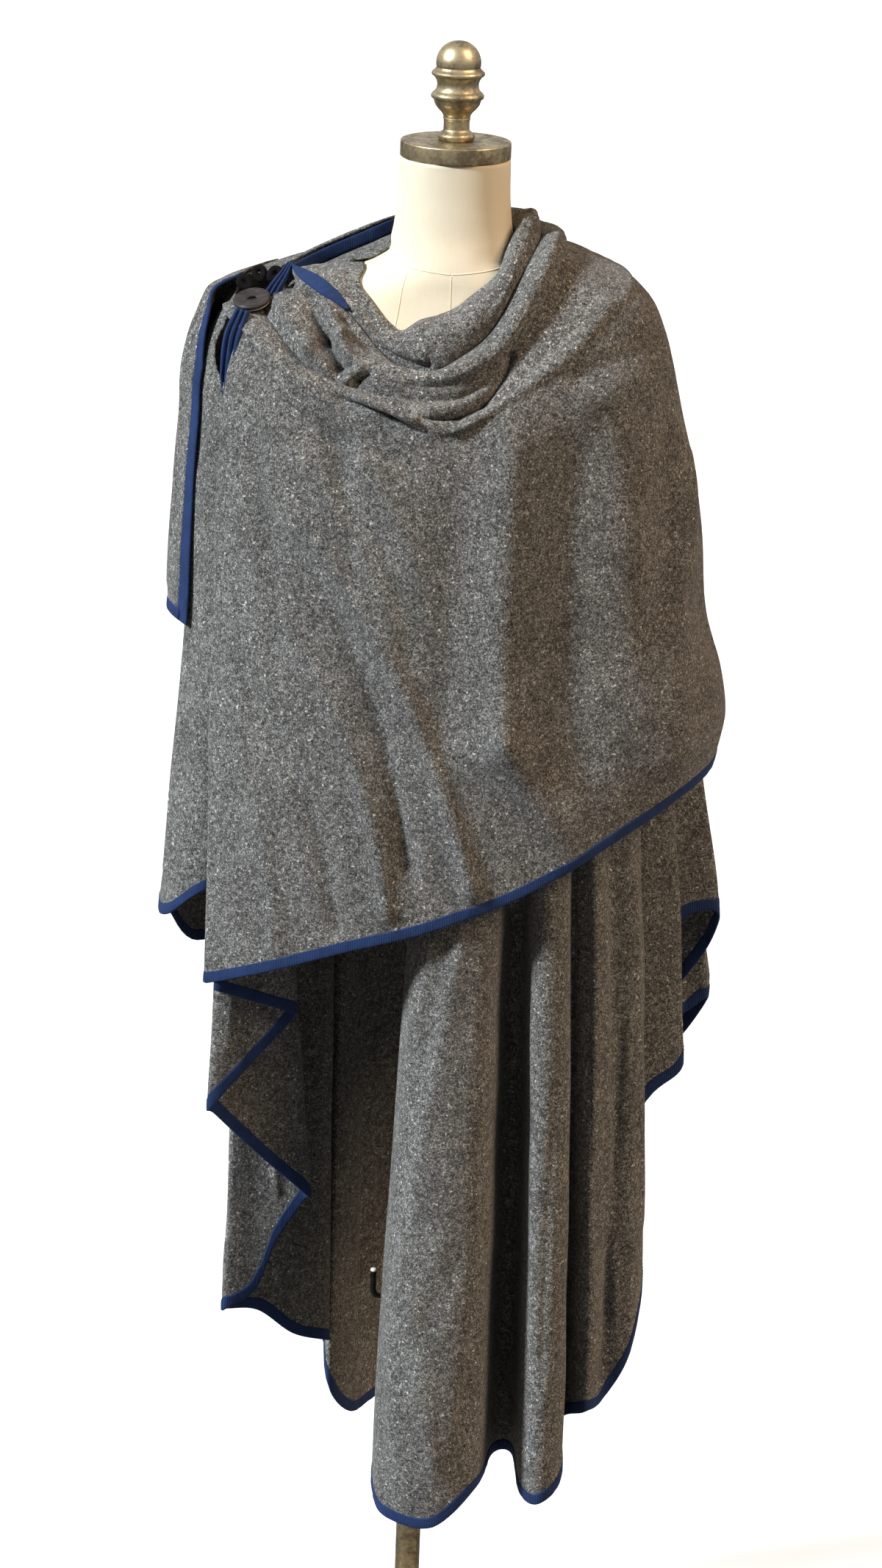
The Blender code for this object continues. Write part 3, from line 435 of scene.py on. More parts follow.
def wrap_points(rows=84, columns=290):
    """The outer layer from its left fold, round the back, to its tucked end.

    Rows run over the chest rolls and down to the hem, the last ones for its binding.
    Columns stand closer near the fold. Towards the tucked end the radius is drawn in.
    """
    share = np.linspace(0, 1, rows - WIDE_BAND)[:, None]
    part = np.linspace(0, 1, columns + 1)
    part = 0.4 * part + 0.6 * part ** 1.6
    low, high = HEM["height"][0], FOLD["height"][0]
    level = low + (high - low) * (1 - share)
    left = by_height(FOLD, "azimuth", level)
    end = TUCKED_TOP + (TUCKED_END - TUCKED_TOP) * ramp(level, 1.455, -0.05)
    azimuth = left + (end - left) * part
    hem = along(HEM, "height", np.maximum(azimuth, HEM["azimuth"][0]))
    top = outer_top(azimuth)
    height = top + (hem + sizes().band_width - top) * share
    down = np.linspace(0, 1, WIDE_BAND + 1)[1:, None]
    height = np.concatenate([height, hem[-1:] + sizes().band_width * (1 - down)])
    azimuth = np.concatenate([azimuth, np.repeat(azimuth[-1:], WIDE_BAND, axis=0)])
    drawn = 1 - 0.085 * ramp(azimuth, 272, TUCKED_END - 272) ** 6
    points = at_azimuth(ring(OUTER, height, azimuth) * drawn, azimuth, height)
    lift = relief(azimuth, height, ARM, 1.0, WRAP_CREASES) + ripple(azimuth * ARM, height, 0.0012)
    quiet = ramp(azimuth, left[-1], 6) * ramp(azimuth, end[-1], -8) * ramp(height, top[-1], -0.02)
    points = lifted(points, lift * quiet)
    ends = -15 * ramp(part, 0.1, -0.1) ** 1.5 - 16 * ramp(part, 0.9, 0.1) ** 1.5
    points = np.concatenate([chest_rolls(azimuth[0] + ends), points])
    return np.concatenate([fold_return(points), points], axis=1)


def tail_points(rows=90, columns=60):
    """The end of the wrap, hanging over the right shoulder outside the outer layer.

    It widens downwards and waves a little. Its front edge curls in towards the body.
    """
    down = np.concatenate([np.linspace(0, 1, rows - WIDE_BAND) ** 1.3, np.ones(WIDE_BAND)])[:, None]
    across = np.linspace(0, 1, columns)[None, :]
    top = 1.484 + 0.004 * across
    low = 1.150 + 0.030 * across
    height = top + (low + sizes().band_width - top) * down
    height[-WIDE_BAND:] -= sizes().band_width * np.linspace(0, 1, WIDE_BAND + 1)[1:, None]
    front = 269 + 12 * ramp(down, 0, 0.25) ** 0.7
    width = 20 + 34 * ramp(down, 0, 0.6) ** 0.7
    azimuth = front - width * across
    wave = 0.003 * np.sin(across * 3 * math.pi) * down
    curl = 0.60 * ramp(across, 0.18, -0.17) * ramp(down, 0, 0.25)
    lift = by_height(TAIL, "lift", height) * (1 - 0.35 * across * down - curl)
    points = at_azimuth(ring(OUTER, height, azimuth) + lift + wave, azimuth, height)
    quiet = ramp(across, 0.08, 0.1) * ramp(height, 1.486, -0.03)
    return lifted(points, relief(across, height, 0.13, 1.0, TAIL_CREASES) * quiet)


def clear_of_form(points):
    """Hold the cloth outside the torso, where a fold would reach into it."""
    x, y, height = np.moveaxis(points, -1, 0)
    azimuth = np.degrees(np.arctan2(x, -y))
    least = ring(FORM, height, azimuth) + 0.0016 + 0.004 * ramp(height, 1.30, -0.1)
    least = least * ramp(height, TORSO_FOOT - 0.23, 0.2)
    push = np.maximum(least / np.hypot(x, y), 1)
    return np.stack([x * push, y * push, height], axis=-1)


def hanging_points(per_fold=9, laid_rows=9, rows=62):
    """The free hanging cloth: laid on the form, then falling in folds that open downwards.

    Down from HANG each column runs from its start to its foot by 1 - (1 - t) ** ease,
    where ease is 1.6 at the front and 1.2 elsewhere. The last rows are its binding.
    """
    count = len(HANGING["x"])
    index = np.linspace(0, count - 1, (count - 1) * per_fold + 1)
    azimuth, x, y, hem = (
        spline(np.arange(count), HANGING[name], index) for name in ("azimuth", "x", "y", "hem"))
    run = np.hypot(np.gradient(x), np.gradient(y)) + 1e-6
    band = sizes().band_width * np.minimum(np.sqrt(1 + (np.gradient(hem) / run) ** 2), 1.6)
    laid = np.linspace(1.460, 1.290, laid_rows)[:, None]
    on_form = at_azimuth(ring(UNDER, laid, azimuth), azimuth, laid)
    start = at_azimuth(ring(UNDER, HANG, azimuth), azimuth, HANG)
    foot = np.stack([x, y, hem], axis=-1)
    share = np.linspace(0, 1, rows)[:, None]
    low = (1 - np.linspace(0, 1, NARROW_BAND + 1)[1:, None]) * band
    height = np.concatenate([HANG + (hem + band - HANG) * share, hem + low])
    t = ((HANG - height) / (HANG - hem))[..., None]
    ease = 1.6 - 0.4 * ramp(azimuth, 75, 20)
    fall = start + (foot - start) * (1 - (1 - t) ** ease[:, None])
    fall[..., 2] = height
    points = np.concatenate([on_form, fall])
    step = np.linalg.norm(np.gradient(points, index, axis=1), axis=-1)
    level = points[..., 2]
    lift = relief(index, level, step, 1.0, HANGING_CREASES) + ripple(index * 0.03, level, 0.0010)
    return clear_of_form(lifted(points, lift * ramp(level, 1.22, -0.15)))


def neck_band_points(columns=60, rows=10):
    """Binding on the neck side of the standing back collar, from its edge down."""
    azimuth = np.linspace(196, 268, columns)
    first = neck_creases(azimuth)[1]
    down = np.linspace(0, sizes().band_width, rows)[:, None]
    return at_azimuth(first[0] - 0.0024 - 0.12 * down, azimuth, first[1] - 0.001 - down)


def front_neck_lines(columns=50):
    """Binding of the front neck edge: a leaf over the first crease, 15 mm wide at its middle."""
    azimuth = np.linspace(-87, -55, columns)
    foot, first, second, _ = neck_creases(azimuth)
    leaf = np.sin(math.pi * np.linspace(0, 1, columns)) ** 0.8
    lines = []
    for target, width, rise in ((foot, 0.0085, 0.0034), (second, 0.0065, 0.0040)):
        across, drop = target[0] - first[0], target[1] - first[1]
        step = (0.0008 + width * leaf) / np.hypot(across, drop)
        radius, height = first[0] + 0.0012 + across * step, first[1] + drop * step + rise
        lines.append(at_azimuth(radius, azimuth, height))
    return lines


def gather_points(path, widths, facing, pleats=3, depth=0.0018, rows=28):
    """Pleated end of a binding: a strip carried along a path, folded lengthways in waves.

    Path and widths follow smooth curves. The strip lies across the way it faces.
    """
    path = np.array(path, float)
    keys = np.arange(len(path))
    at = np.linspace(0, len(path) - 1, rows)
    line = np.stack([spline(keys, path[:, k], at) for k in range(3)], axis=-1)
    run = unit(np.gradient(line, axis=0))
    level = unit(np.cross(run, facing))[:, None]
    up = np.cross(level, run[:, None])
    t = np.linspace(-0.5, 0.5, 16 * pleats + 1)[None, :, None]
    fold = -np.cos(2 * math.pi * pleats * (t + 0.5)) * depth
    return line[:, None] + level * t * spline(keys, widths, at)[:, None, None] + up * fold


def sizes():
    """The sizes and counts that a user may change."""
    return bpy.context.scene.cape_sizes


def tint(name):
    """One of the colours that a user may change, with full alpha."""
    return (*getattr(bpy.context.scene.cape_colours, name), 1)


def fill_mesh(corners, faces, places=None):
    """Mesh from arrays of corners and faces, smooth, with a place on the cloth as its UV."""
    mesh = bpy.data.meshes.new("piece")
    mesh.from_pydata(corners.tolist(), [], faces if isinstance(faces, list) else faces.tolist())
    if places is not None:
        corner = np.empty(len(mesh.loops), np.int32)
        mesh.loops.foreach_get("vertex_index", corner)
        layer = mesh.uv_layers.new(name="cut")
        layer.data.foreach_set("uv", places[corner].astype(np.float32).ravel())
    mesh.shade_smooth()
    return mesh


def add_piece(name, mesh, finish, body, slot_name, *nodes):
    """Link a mesh as a piece that rides on a body and stands for its nodes."""
    item = bpy.data.objects.new(name, mesh)
    mesh.name = name
    mesh.materials.append(finish)
    bpy.context.collection.objects.link(item)
    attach(item, body)
    if nodes:
        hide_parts(*nodes)
    return item


def add_wool(name, points, *nodes):
    """Add a sheet of wool over a grid."""
    mesh = shell_mesh(points, sizes().cloth_wall)
    return add_piece(name, mesh, wool(), "form", "wool", *nodes)


def add_band(name, seam, hem, normal, *nodes, wall=None):
    """Add a folded binding between its seam and the hem of the cloth."""
    mesh = band_mesh(seam, hem, normal, wall or sizes().band_wall)
    return add_piece(name, mesh, tape(), "form", "binding", *nodes)


def bind_hem(name, points, rows, *nodes):
    """Add a binding over the last rows of a cloth's grid, and stitches beside its seam."""
    normal = normals(points)
    seam, hem, middle = points[-rows - 1], points[-1], normal[-rows // 2 - 1]
    band = add_band(name + "_band", seam, hem, middle, *nodes)
    sewing = stitches_mesh(
        points[-rows], seam - hem, normal[-rows], sizes().stitch, sizes().band_wall / 2)
    return [band, add_piece(name + "_stitches", sewing, blue_thread(), "form", "binding")]


def flat_places(points):
    """Place of each point on the cloth as cut: lengths along its row and its column."""
    return np.stack([running_length(points, 1), -running_length(points, 0)], axis=-1)


def shell_mesh(points, wall):
    """Thin closed shell: the grid moved half a wall to each side, joined round its edges."""
    normal = normals(points)
    down, across = points.shape[:2]
    number = np.arange(down * across).reshape(down, across)
    far = number + down * across
    quads = [
        np.stack([number[:-1, :-1], number[1:, :-1], number[1:, 1:], number[:-1, 1:]], axis=-1),
        np.stack([far[:-1, :-1], far[:-1, 1:], far[1:, 1:], far[1:, :-1]], axis=-1),
        np.stack([number[0, :-1], number[0, 1:], far[0, 1:], far[0, :-1]], axis=-1),
        np.stack([number[-1, :-1], far[-1, :-1], far[-1, 1:], number[-1, 1:]], axis=-1),
        np.stack([number[:-1, 0], far[:-1, 0], far[1:, 0], number[1:, 0]], axis=-1),
        np.stack([number[:-1, -1], number[1:, -1], far[1:, -1], far[:-1, -1]], axis=-1),
    ]
    corners = np.concatenate([
        (points + normal * wall / 2).reshape(-1, 3), (points - normal * wall / 2).reshape(-1, 3)])
    places = flat_places(points).reshape(-1, 2)
    faces = np.concatenate([q.reshape(-1, 4) for q in quads])
    return fill_mesh(corners, faces, np.concatenate([places, places]))


def band_mesh(seam, hem, normal, wall, sides=14):
    """Folded binding: a flattened ring carried along the edge of the cloth.

    Round the ring, the place from seam to hem is (1 - sign(cos) |cos| ** 0.6) / 2 and the
    height is half the wall times sign(sin) |sin| ** 0.45. Small puckers follow the length.
    """
    turn = np.linspace(0, 2 * math.pi, sides, endpoint=False)[None, :, None]
    place = 0.5 - 0.5 * np.sign(np.cos(turn)) * np.abs(np.cos(turn)) ** 0.6
    rise = np.sign(np.sin(turn)) * np.abs(np.sin(turn)) ** 0.45 * wall / 2
    length = running_length(hem)[:, None, None]
    pucker = 1 + 0.10 * np.sin(length * 720) + 0.08 * np.sin(length * 410 + 1.0)
    rings = seam[:, None] + (hem - seam)[:, None] * place + normal[:, None] * rise * pucker
    width = np.linalg.norm(hem - seam, axis=-1)[:, None, None]
    places = np.concatenate(np.broadcast_arrays(length, -place * width), axis=-1)
    return recalc(loft_mesh(rings, places.reshape(-1, 2)))


def stitches_mesh(line, step_across, normal, spacing, lift, thick=0.00028):
    """Row of short stitches beside a seam: six-sided grains laid along the line.

    The line is read at even lengths; each grain is a double cone squashed onto the cloth.
    """
    length = running_length(line)

    def read(values, at):
        """Read rows of values at lengths along the line."""
        return np.stack([np.interp(at, length, values[:, k]) for k in range(3)], axis=-1)

    at = np.arange(spacing, length[-1] - spacing, spacing)
    centre, tip = read(line, at), read(line, at + spacing / 3)
    up, side = unit(read(normal, at)), unit(read(step_across, at))
    half = unit(tip - centre) * (spacing * 0.32)
    turn = np.radians([0, 60, 120, 180, 240, 300])
    centre = centre + up * lift
    belly = [centre + side * math.cos(a) * thick + up * math.sin(a) * thick for a in turn]
    corners = np.stack([centre - half, *belly, centre + half], axis=1)
    k = np.arange(len(at))[:, None, None] * 8
    ends = np.array([(0, 1 + (j + 1) % 6, 1 + j) for j in range(6)])
    ends = np.concatenate([ends, [(7, 1 + j, 1 + (j + 1) % 6) for j in range(6)]])
    return fill_mesh(corners.reshape(-1, 3), (ends + k).reshape(-1, 3))


def loft_mesh(rings, places=None):
    """Closed skin over a stack of rings, its two ends filled."""
    count, sides = rings.shape[:2]
    number = np.arange(count * sides).reshape(count, sides)
    after = np.roll(number, -1, axis=1)
    faces = np.stack([number[:-1], number[1:], after[1:], after[:-1]], axis=-1)
    faces = faces.reshape(-1, 4).tolist() + [number[0].tolist(), number[-1][::-1].tolist()]
    return fill_mesh(rings.reshape(-1, 3), faces, places)


def torus_mesh(grid):
    """Closed skin over a grid whose rows and columns both come round to their start."""
    number = np.arange(grid.shape[0] * grid.shape[1]).reshape(grid.shape[:2])
    below, after = np.roll(number, -1, axis=0), np.roll(number, -1, axis=1)
    faces = np.stack([number, below, np.roll(below, -1, axis=1), after], axis=-1)
    return recalc(fill_mesh(grid.reshape(-1, 3), faces.reshape(-1, 4)))


def arc(radius, height, size, start, stop, count):
    """Outline points on an arc about a centre, from one angle to another in degrees."""
    return [(radius + size * math.cos(a), height + size * math.sin(a))
            for a in np.radians(np.linspace(start, stop, count))]


def spin(outline, steps):
    """Rings of an outline of radius and height, spun about Z, and their azimuths."""
    outline = np.array(outline, float)
    azimuth = np.linspace(0, 360, steps, endpoint=False)
    return at_azimuth(outline[:, :1], azimuth, outline[:, 1:]), azimuth


def lathe_mesh(outline, steps=96, sharp=32):
    """Turned piece: an outline of radius and height, from the top down, spun about Z."""
    rings, azimuth = spin(outline, steps)
    around = np.broadcast_arrays(azimuth / 360 * 0.1, rings[..., 2])
    mesh = loft_mesh(rings, np.stack(around, axis=-1).reshape(-1, 2))
    mesh.set_sharp_from_angle(angle=math.radians(sharp))
    return mesh


def tube_mesh(path, radius, sides=12):
    """Round rod along a path: rings square to the mean direction of its neighbours."""
    path = np.asarray(path, float)
    step = unit(np.diff(path, axis=0))
    run = unit(np.concatenate([step[:1], step]) + np.concatenate([step, step[-1:]]))
    side = unit(np.cross(run, (0.02, 1.0, 0.03)))
    up = np.cross(side, run)
    turn = np.linspace(0, 2 * math.pi, sides, endpoint=False)[None, :, None]
    radius = np.broadcast_to(np.asarray(radius, float), (len(path),))[:, None, None]
    rings = path[:, None] + radius * (side[:, None] * np.cos(turn) + up[:, None] * np.sin(turn))
    return recalc(loft_mesh(rings))


def recalc(mesh):
    """Point the faces of a closed mesh outwards."""
    work = bmesh.new()
    work.from_mesh(mesh)
    bmesh.ops.recalc_face_normals(work, faces=work.faces)
    work.to_mesh(mesh)
    work.free()
    return mesh


def set_inputs(tree, item, inputs):
    """Give a node's inputs their values, or link them to other nodes' outputs."""
    for key, value in inputs.items():
        if isinstance(value, bpy.types.NodeSocket):
            tree.links.new(value, item.inputs[key])
        else:
            item.inputs[key].default_value = value


def add_node(tree, kind, inputs, **settings):
    """Add a shader node with its settings and inputs, and return its outputs."""
    item = tree.nodes.new(kind)
    for key, value in settings.items():
        setattr(item, key, value)
    set_inputs(tree, item, inputs)
    return item.outputs


def math_node(tree, operation, first, second, clamp=False):
    """Sum or product of two outputs or numbers."""
    return add_node(tree, "ShaderNodeMath", {0: first, 1: second},
                    operation=operation, use_clamp=clamp)[0]


def total(tree, *parts):
    """Sum of outputs and numbers, each times its weight."""
    result = None
    for value, weight in parts:
        if weight != 1:
            value = math_node(tree, "MULTIPLY", value, weight)
        result = value if result is None else math_node(tree, "ADD", result, value)
    return result


def noise(tree, vector, scale, detail=2.0, roughness=0.5, stretch=None):
    """Noise of a scale, on a vector that may be stretched first."""
    if stretch is not None:
        vector = add_node(tree, "ShaderNodeMapping", {"Vector": vector, "Scale": stretch})[0]
    return add_node(tree, "ShaderNodeTexNoise", {
        "Vector": vector, "Scale": scale, "Detail": detail, "Roughness": roughness})["Fac"]


def ribs(tree, vector, direction, scale, distortion, more=None):
    """Straight bands across one direction of a vector."""
    return add_node(tree, "ShaderNodeTexWave", {
        "Vector": vector, "Scale": scale, "Distortion": distortion, "Detail": 1.0, **(more or {})},
        wave_type="BANDS", bands_direction=direction)["Fac"]


def between(tree, value, low, high):
    """Mask that rises from 0 at low to 1 at high."""
    return add_node(tree, "ShaderNodeMapRange", {
        "Value": value, "From Min": low, "From Max": high}, interpolation_type="SMOOTHSTEP")[0]


def mix(tree, factor, first, second, blend="MIX"):
    """Mixed colour of two colours."""
    return add_node(tree, "ShaderNodeMix", {0: factor, 6: first, 7: second},
                    data_type="RGBA", blend_type=blend)[2]


def bump(tree, height, strength, distance):
    """Normal raised by a height through a Bump node."""
    return add_node(tree, "ShaderNodeBump", {
        "Height": height, "Strength": strength, "Distance": distance})["Normal"]


def node_group(name, inputs, outputs):
    """Turn a builder into the maker of one shared node group.

    Inputs and outputs name each socket's kind. The builder gets the tree and the group's
    inputs, and returns what feeds each of its outputs.
    """
    def wrap(build):
        def maker():
            group = bpy.data.node_groups.get(name)
            if group is None:
                group = bpy.data.node_groups.new(name, "ShaderNodeTree")
                for side, sockets in (("INPUT", inputs), ("OUTPUT", outputs)):
                    for label, kind in sockets.items():
                        group.interface.new_socket(
                            name=label, in_out=side, socket_type="NodeSocket" + kind)
                given = group.nodes.new("NodeGroupInput").outputs
                set_inputs(group, group.nodes.new("NodeGroupOutput"), build(group, given))
            return group
        return maker
    return wrap


def material(name):
    """Turn a painter into the maker of one shared material.

    The painter gets the tree and the coordinates, and returns what the shader's inputs take.
    """
    def wrap(paint):
        def maker():
            made = bpy.data.materials.get(name)
            if made is None:
                made = bpy.data.materials.new(name)
                made.use_nodes = True
                tree = made.node_tree
                place = tree.nodes.new("ShaderNodeTexCoord").outputs
                set_inputs(tree, tree.nodes["Principled BSDF"], paint(tree, place))
            return made
        return maker
    return wrap


WOVEN = {"Place": "Vector", "Vector": "Vector", "Colour": "Color", "Shade": "Color"}
LOOK = {"Color": "Color", "Height": "Float"}


@node_group("melange", {"Vector": "Vector", "Grain": "Float", "Dark": "Color", "Mid": "Color",
                        "Light": "Color", "Fleck": "Color"}, LOOK)
def melange(tree, given):
    """Felted melange wool: mottled mid grey with dark gaps, light fibres and pale flecks."""
    vector, grain = given["Vector"], given["Grain"]
    bend = add_node(tree, "ShaderNodeTexNoise", {"Vector": vector, "Scale": 420.0, "Detail": 1.0})
    curl = add_node(tree, "ShaderNodeVectorMath", {
        0: bend["Color"], 1: (0.0022, 0.0022, 0.0022)}, operation="MULTIPLY")[0]
    curled = add_node(tree, "ShaderNodeVectorMath", {0: vector, 1: curl}, operation="ADD")[0]
    fine = noise(tree, curled, grain, 2.0, 0.75)
    patch = noise(tree, vector, math_node(tree, "MULTIPLY", grain, 0.30), 3.0, 0.6)
    fleck = noise(tree, curled, math_node(tree, "MULTIPLY", grain, 0.55), 1.0, 0.5)
    tone = total(tree, (patch, 0.28), (fine, 0.72))
    colour = mix(tree, between(tree, tone, 0.36, 0.50), given["Dark"], given["Mid"])
    colour = mix(tree, between(tree, tone, 0.49, 0.62), colour, given["Light"])
    colour = mix(tree, between(tree, fleck, 0.66, 0.76), colour, given["Fleck"])
    colour = mix(tree, between(tree, fleck, 0.34, 0.25), colour, given["Dark"])
    cloud = between(tree, noise(tree, vector, 26.0, 4.0, 0.65), 0.25, 0.75)
    shade = mix(tree, cloud, (0.80, 0.79, 0.79, 1), (1.18, 1.18, 1.18, 1))
    return {"Color": mix(tree, 1.0, colour, shade, "MULTIPLY"),
            "Height": total(tree, (fine, 1), (patch, 0.6))}


@node_group("knit_tape", WOVEN, LOOK)
def knit_tape(tree, given):
    """Fine knit tape: ribs across its width every 1.2 mm, uneven dye, pressed edges."""
    rib = ribs(tree, given["Place"], "X", 130.0, 1.2, {"Detail Scale": 3.0})
    uneven = noise(tree, given["Vector"], 60.0, 4.0, 0.65)
    fuzz = noise(tree, given["Vector"], 900.0, 2.0, 0.7)
    tone = total(tree, (rib, 0.22), (uneven, 0.78))
    return {"Color": mix(tree, between(tree, tone, 0.25, 0.72), given["Shade"], given["Colour"]),
            "Height": total(tree, (rib, 1), (fuzz, 0.8))}


@node_group("plain_weave", WOVEN, LOOK)
def plain_weave(tree, given):
    """Plain weave: crossing threads 0.6 mm apart with slubs, and soft yellowing."""
    threads = [ribs(tree, given["Place"], direction, 260.0, 0.8) for direction in "XY"]
    woven = math_node(tree, "MULTIPLY", math_node(tree, "ADD", *threads), 0.5)
    slub = noise(tree, given["Place"], 500.0, 2.0, 0.6, (1.0, 0.08, 1.0))
    stain = noise(tree, given["Vector"], 14.0, 4.0, 0.6)
    tone = total(tree, (slub, 0.35), (stain, 0.65))
    return {"Color": mix(tree, between(tree, tone, 0.25, 0.75), given["Shade"], given["Colour"]),
            "Height": total(tree, (woven, 1), (slub, 0.5))}


@node_group("patina", {"Vector": "Vector", "Metal": "Color", "Tarnish": "Color"},
            {"Color": "Color", "Roughness": "Float", "Height": "Float"})
def patina(tree, given):
    """Old metal: brown tarnish in clouds, brighter where it is rubbed, and fine scratches."""
    cloud = noise(tree, given["Vector"], 42.0, 5.0, 0.65)
    spot = noise(tree, given["Vector"], 260.0, 3.0, 0.6)
    scratch = noise(tree, given["Vector"], 320.0, 2.0, 0.6, (0.12, 0.12, 4.0))
    mask = between(tree, total(tree, (cloud, 0.7), (spot, 0.3)), 0.38, 0.62)
    return {"Color": mix(tree, mask, given["Tarnish"], given["Metal"]),
            "Roughness": total(tree, (0.52, 1), (mask, -0.20), (scratch, 0.08)),
            "Height": total(tree, (spot, 1), (scratch, 1))}


@material("heather wool")
def wool(tree, place):
    """Felted heather wool with nap."""
    out = add_node(tree, "ShaderNodeGroup", {
        "Vector": place["Object"], "Grain": sizes().grain, "Dark": tint("wool_dark"),
        "Mid": tint("wool_mid"), "Light": tint("wool_light"), "Fleck": tint("wool_fleck")},
        node_tree=melange())
    return {"Base Color": out["Color"], "Roughness": 0.95, "Specular IOR Level": 0.2,
            "Sheen Weight": 0.12, "Sheen Roughness": 0.6, "Sheen Tint": (0.75, 0.77, 0.80, 1),
            "Normal": bump(tree, out["Height"], 0.7, 0.0012)}


@material("blue binding")
def tape(tree, place):
    """Blue knit binding."""
    out = add_node(tree, "ShaderNodeGroup", {
        "Place": place["UV"], "Vector": place["Object"], "Colour": tint("binding"),
        "Shade": tint("binding_shade")}, node_tree=knit_tape())
    return {"Base Color": out["Color"], "Roughness": 0.85, "Specular IOR Level": 0.25,
            "Sheen Weight": 0.05, "Sheen Tint": (0.35, 0.45, 0.80, 1),
            "Normal": bump(tree, out["Height"], 0.5, 0.0004)}


@material("cream linen")
def linen(tree, place):
    """Cream linen cover of the dress form."""
    out = add_node(tree, "ShaderNodeGroup", {
        "Place": place["UV"], "Vector": place["Object"], "Colour": tint("linen"),
        "Shade": tint("linen_shade")}, node_tree=plain_weave())
    return {"Base Color": out["Color"], "Roughness": 0.9, "Specular IOR Level": 0.2,
            "Normal": bump(tree, out["Height"], 0.35, 0.0003)}


@material("antique brass")
def brass(tree, place):
    """Antique brass of cap, finial, pole and base."""
    out = add_node(tree, "ShaderNodeGroup", {
        "Vector": place["Object"], "Metal": tint("brass"), "Tarnish": tint("tarnish")},
        node_tree=patina())
    return {"Base Color": out["Color"], "Roughness": out["Roughness"], "Metallic": 1.0,
            "Normal": bump(tree, out["Height"], 0.12, 0.0003)}


@material("dark horn")
def horn(tree, place):
    """Dark horn with brown streaks."""
    streak = noise(tree, place["Object"], 90.0, 4.0, 0.6, (1.0, 3.0, 1.0))
    colour = mix(tree, between(tree, streak, 0.35, 0.70), tint("horn"), tint("horn_streak"))
    fine = noise(tree, place["Object"], 700.0, 2.0, 0.5)
    return {"Base Color": colour, "Roughness": 0.48, "Specular IOR Level": 0.3,
            "Normal": bump(tree, fine, 0.08, 0.0003)}


@material("pale rim")
def pale_rim(tree, place):
    """Pale cream underside of the horn button."""
    tone = noise(tree, place["Object"], 240.0, 3.0, 0.6)
    return {"Base Color": mix(tree, tone, (0.50, 0.44, 0.33, 1), (0.80, 0.76, 0.66, 1)),
            "Roughness": 0.5}


@material("black braid")
def black_braid(tree, place):
    """Dull black braid with a fuzzy thread."""
    fuzz = noise(tree, place["Object"], 1200.0, 3.0, 0.6)
    mask = between(tree, fuzz, 0.35, 0.70)
    return {"Base Color": mix(tree, mask, (0.002, 0.002, 0.002, 1), (0.010, 0.009, 0.010, 1)),
            "Roughness": 0.8, "Specular IOR Level": 0.08,
            "Normal": bump(tree, fuzz, 0.5, 0.0006)}


@material("black steel")
def black_steel(tree, place):
    """Black lacquered steel of the clamp lever, with painted highlights on its tip and under its bend."""
    wear = noise(tree, place["Object"], 160.0, 4.0, 0.6)
    height = add_node(tree, "ShaderNodeSeparateXYZ", {0: place["Object"]})["Z"]
    # Painted highlight: pale cream on the lever's tip and on the underside of its bend, standing in for
    # light caught there
    painted_highlight = math_node(tree, "ADD", between(tree, height, 0.4655, 0.4675),
                     between(tree, height, 0.4372, 0.4362), clamp=True)
    worn = between(tree, wear, 0.45, 0.75)
    lacquer = mix(tree, worn, (0.004, 0.004, 0.004, 1), (0.02, 0.018, 0.016, 1))
    return {"Base Color": mix(tree, painted_highlight, lacquer, (0.80, 0.74, 0.60, 1)),
            "Roughness": total(tree, (wear, 0.2), (0.20, 1)), "Specular IOR Level": 0.25}


def thread(tree, place, full):
    """Twisted sewing thread: from six tenths of its full colour to all of it."""
    tone = noise(tree, place["Object"], 2500.0, 1.0, 0.5)
    colour = mix(tree, tone, (*(0.6 * v for v in full), 1), (*full, 1))
    return {"Base Color": colour, "Roughness": 0.7, "Specular IOR Level": 0.1}


@material("blue thread")
def blue_thread(tree, place):
    """Thread of the binding's stitches."""
    return thread(tree, place, (0.03, 0.06, 0.16))


@material("black thread")
def black_thread(tree, place):
    """Thread that holds the horn button."""
    return thread(tree, place, (0.003, 0.003, 0.003))


@material("pale floor")
def pale_floor(tree, place):
    """Floor that looks pale, and is darker to the light that it bounces."""
    seen = tree.nodes.new("ShaderNodeLightPath").outputs["Is Camera Ray"]
    return {"Base Color": mix(tree, seen, (0.20, 0.20, 0.20, 1), (0.40, 0.40, 0.40, 1)),
            "Roughness": 1.0, "Specular IOR Level": 0.0, "Emission Color": (1, 1, 1, 1),
            "Emission Strength": math_node(tree, "MULTIPLY", seen, 0.80)}


class CapeSizes(bpy.types.PropertyGroup):
    cloth_wall: bpy.props.FloatProperty(
        name="Wool", description="Thickness of the wool cloth", default=0.0020,
        min=0.0005, max=0.004, unit="LENGTH", subtype="DISTANCE")
    band_width: bpy.props.FloatProperty(
        name="Binding width", description="Width of the binding on each edge", default=0.012,
        min=0.006, max=0.02, unit="LENGTH", subtype="DISTANCE")
    band_wall: bpy.props.FloatProperty(
        name="Binding thickness", description="Thickness of the binding folded over the wool",
        default=0.0034, min=0.002, max=0.006, unit="LENGTH", subtype="DISTANCE")
    stitch: bpy.props.FloatProperty(
        name="Stitch", description="Length from one stitch to the next", default=0.0032,
        min=0.002, max=0.01, unit="LENGTH", subtype="DISTANCE")
    crease_depth: bpy.props.FloatProperty(
        name="Crease depth", description="How deep the creases are, against their tables",
        default=1.5, min=0.0, max=3.0)
    grain: bpy.props.FloatProperty(
        name="Wool grain", description="Mottles of the wool in one metre", default=620.0,
        min=100.0, max=2000.0)


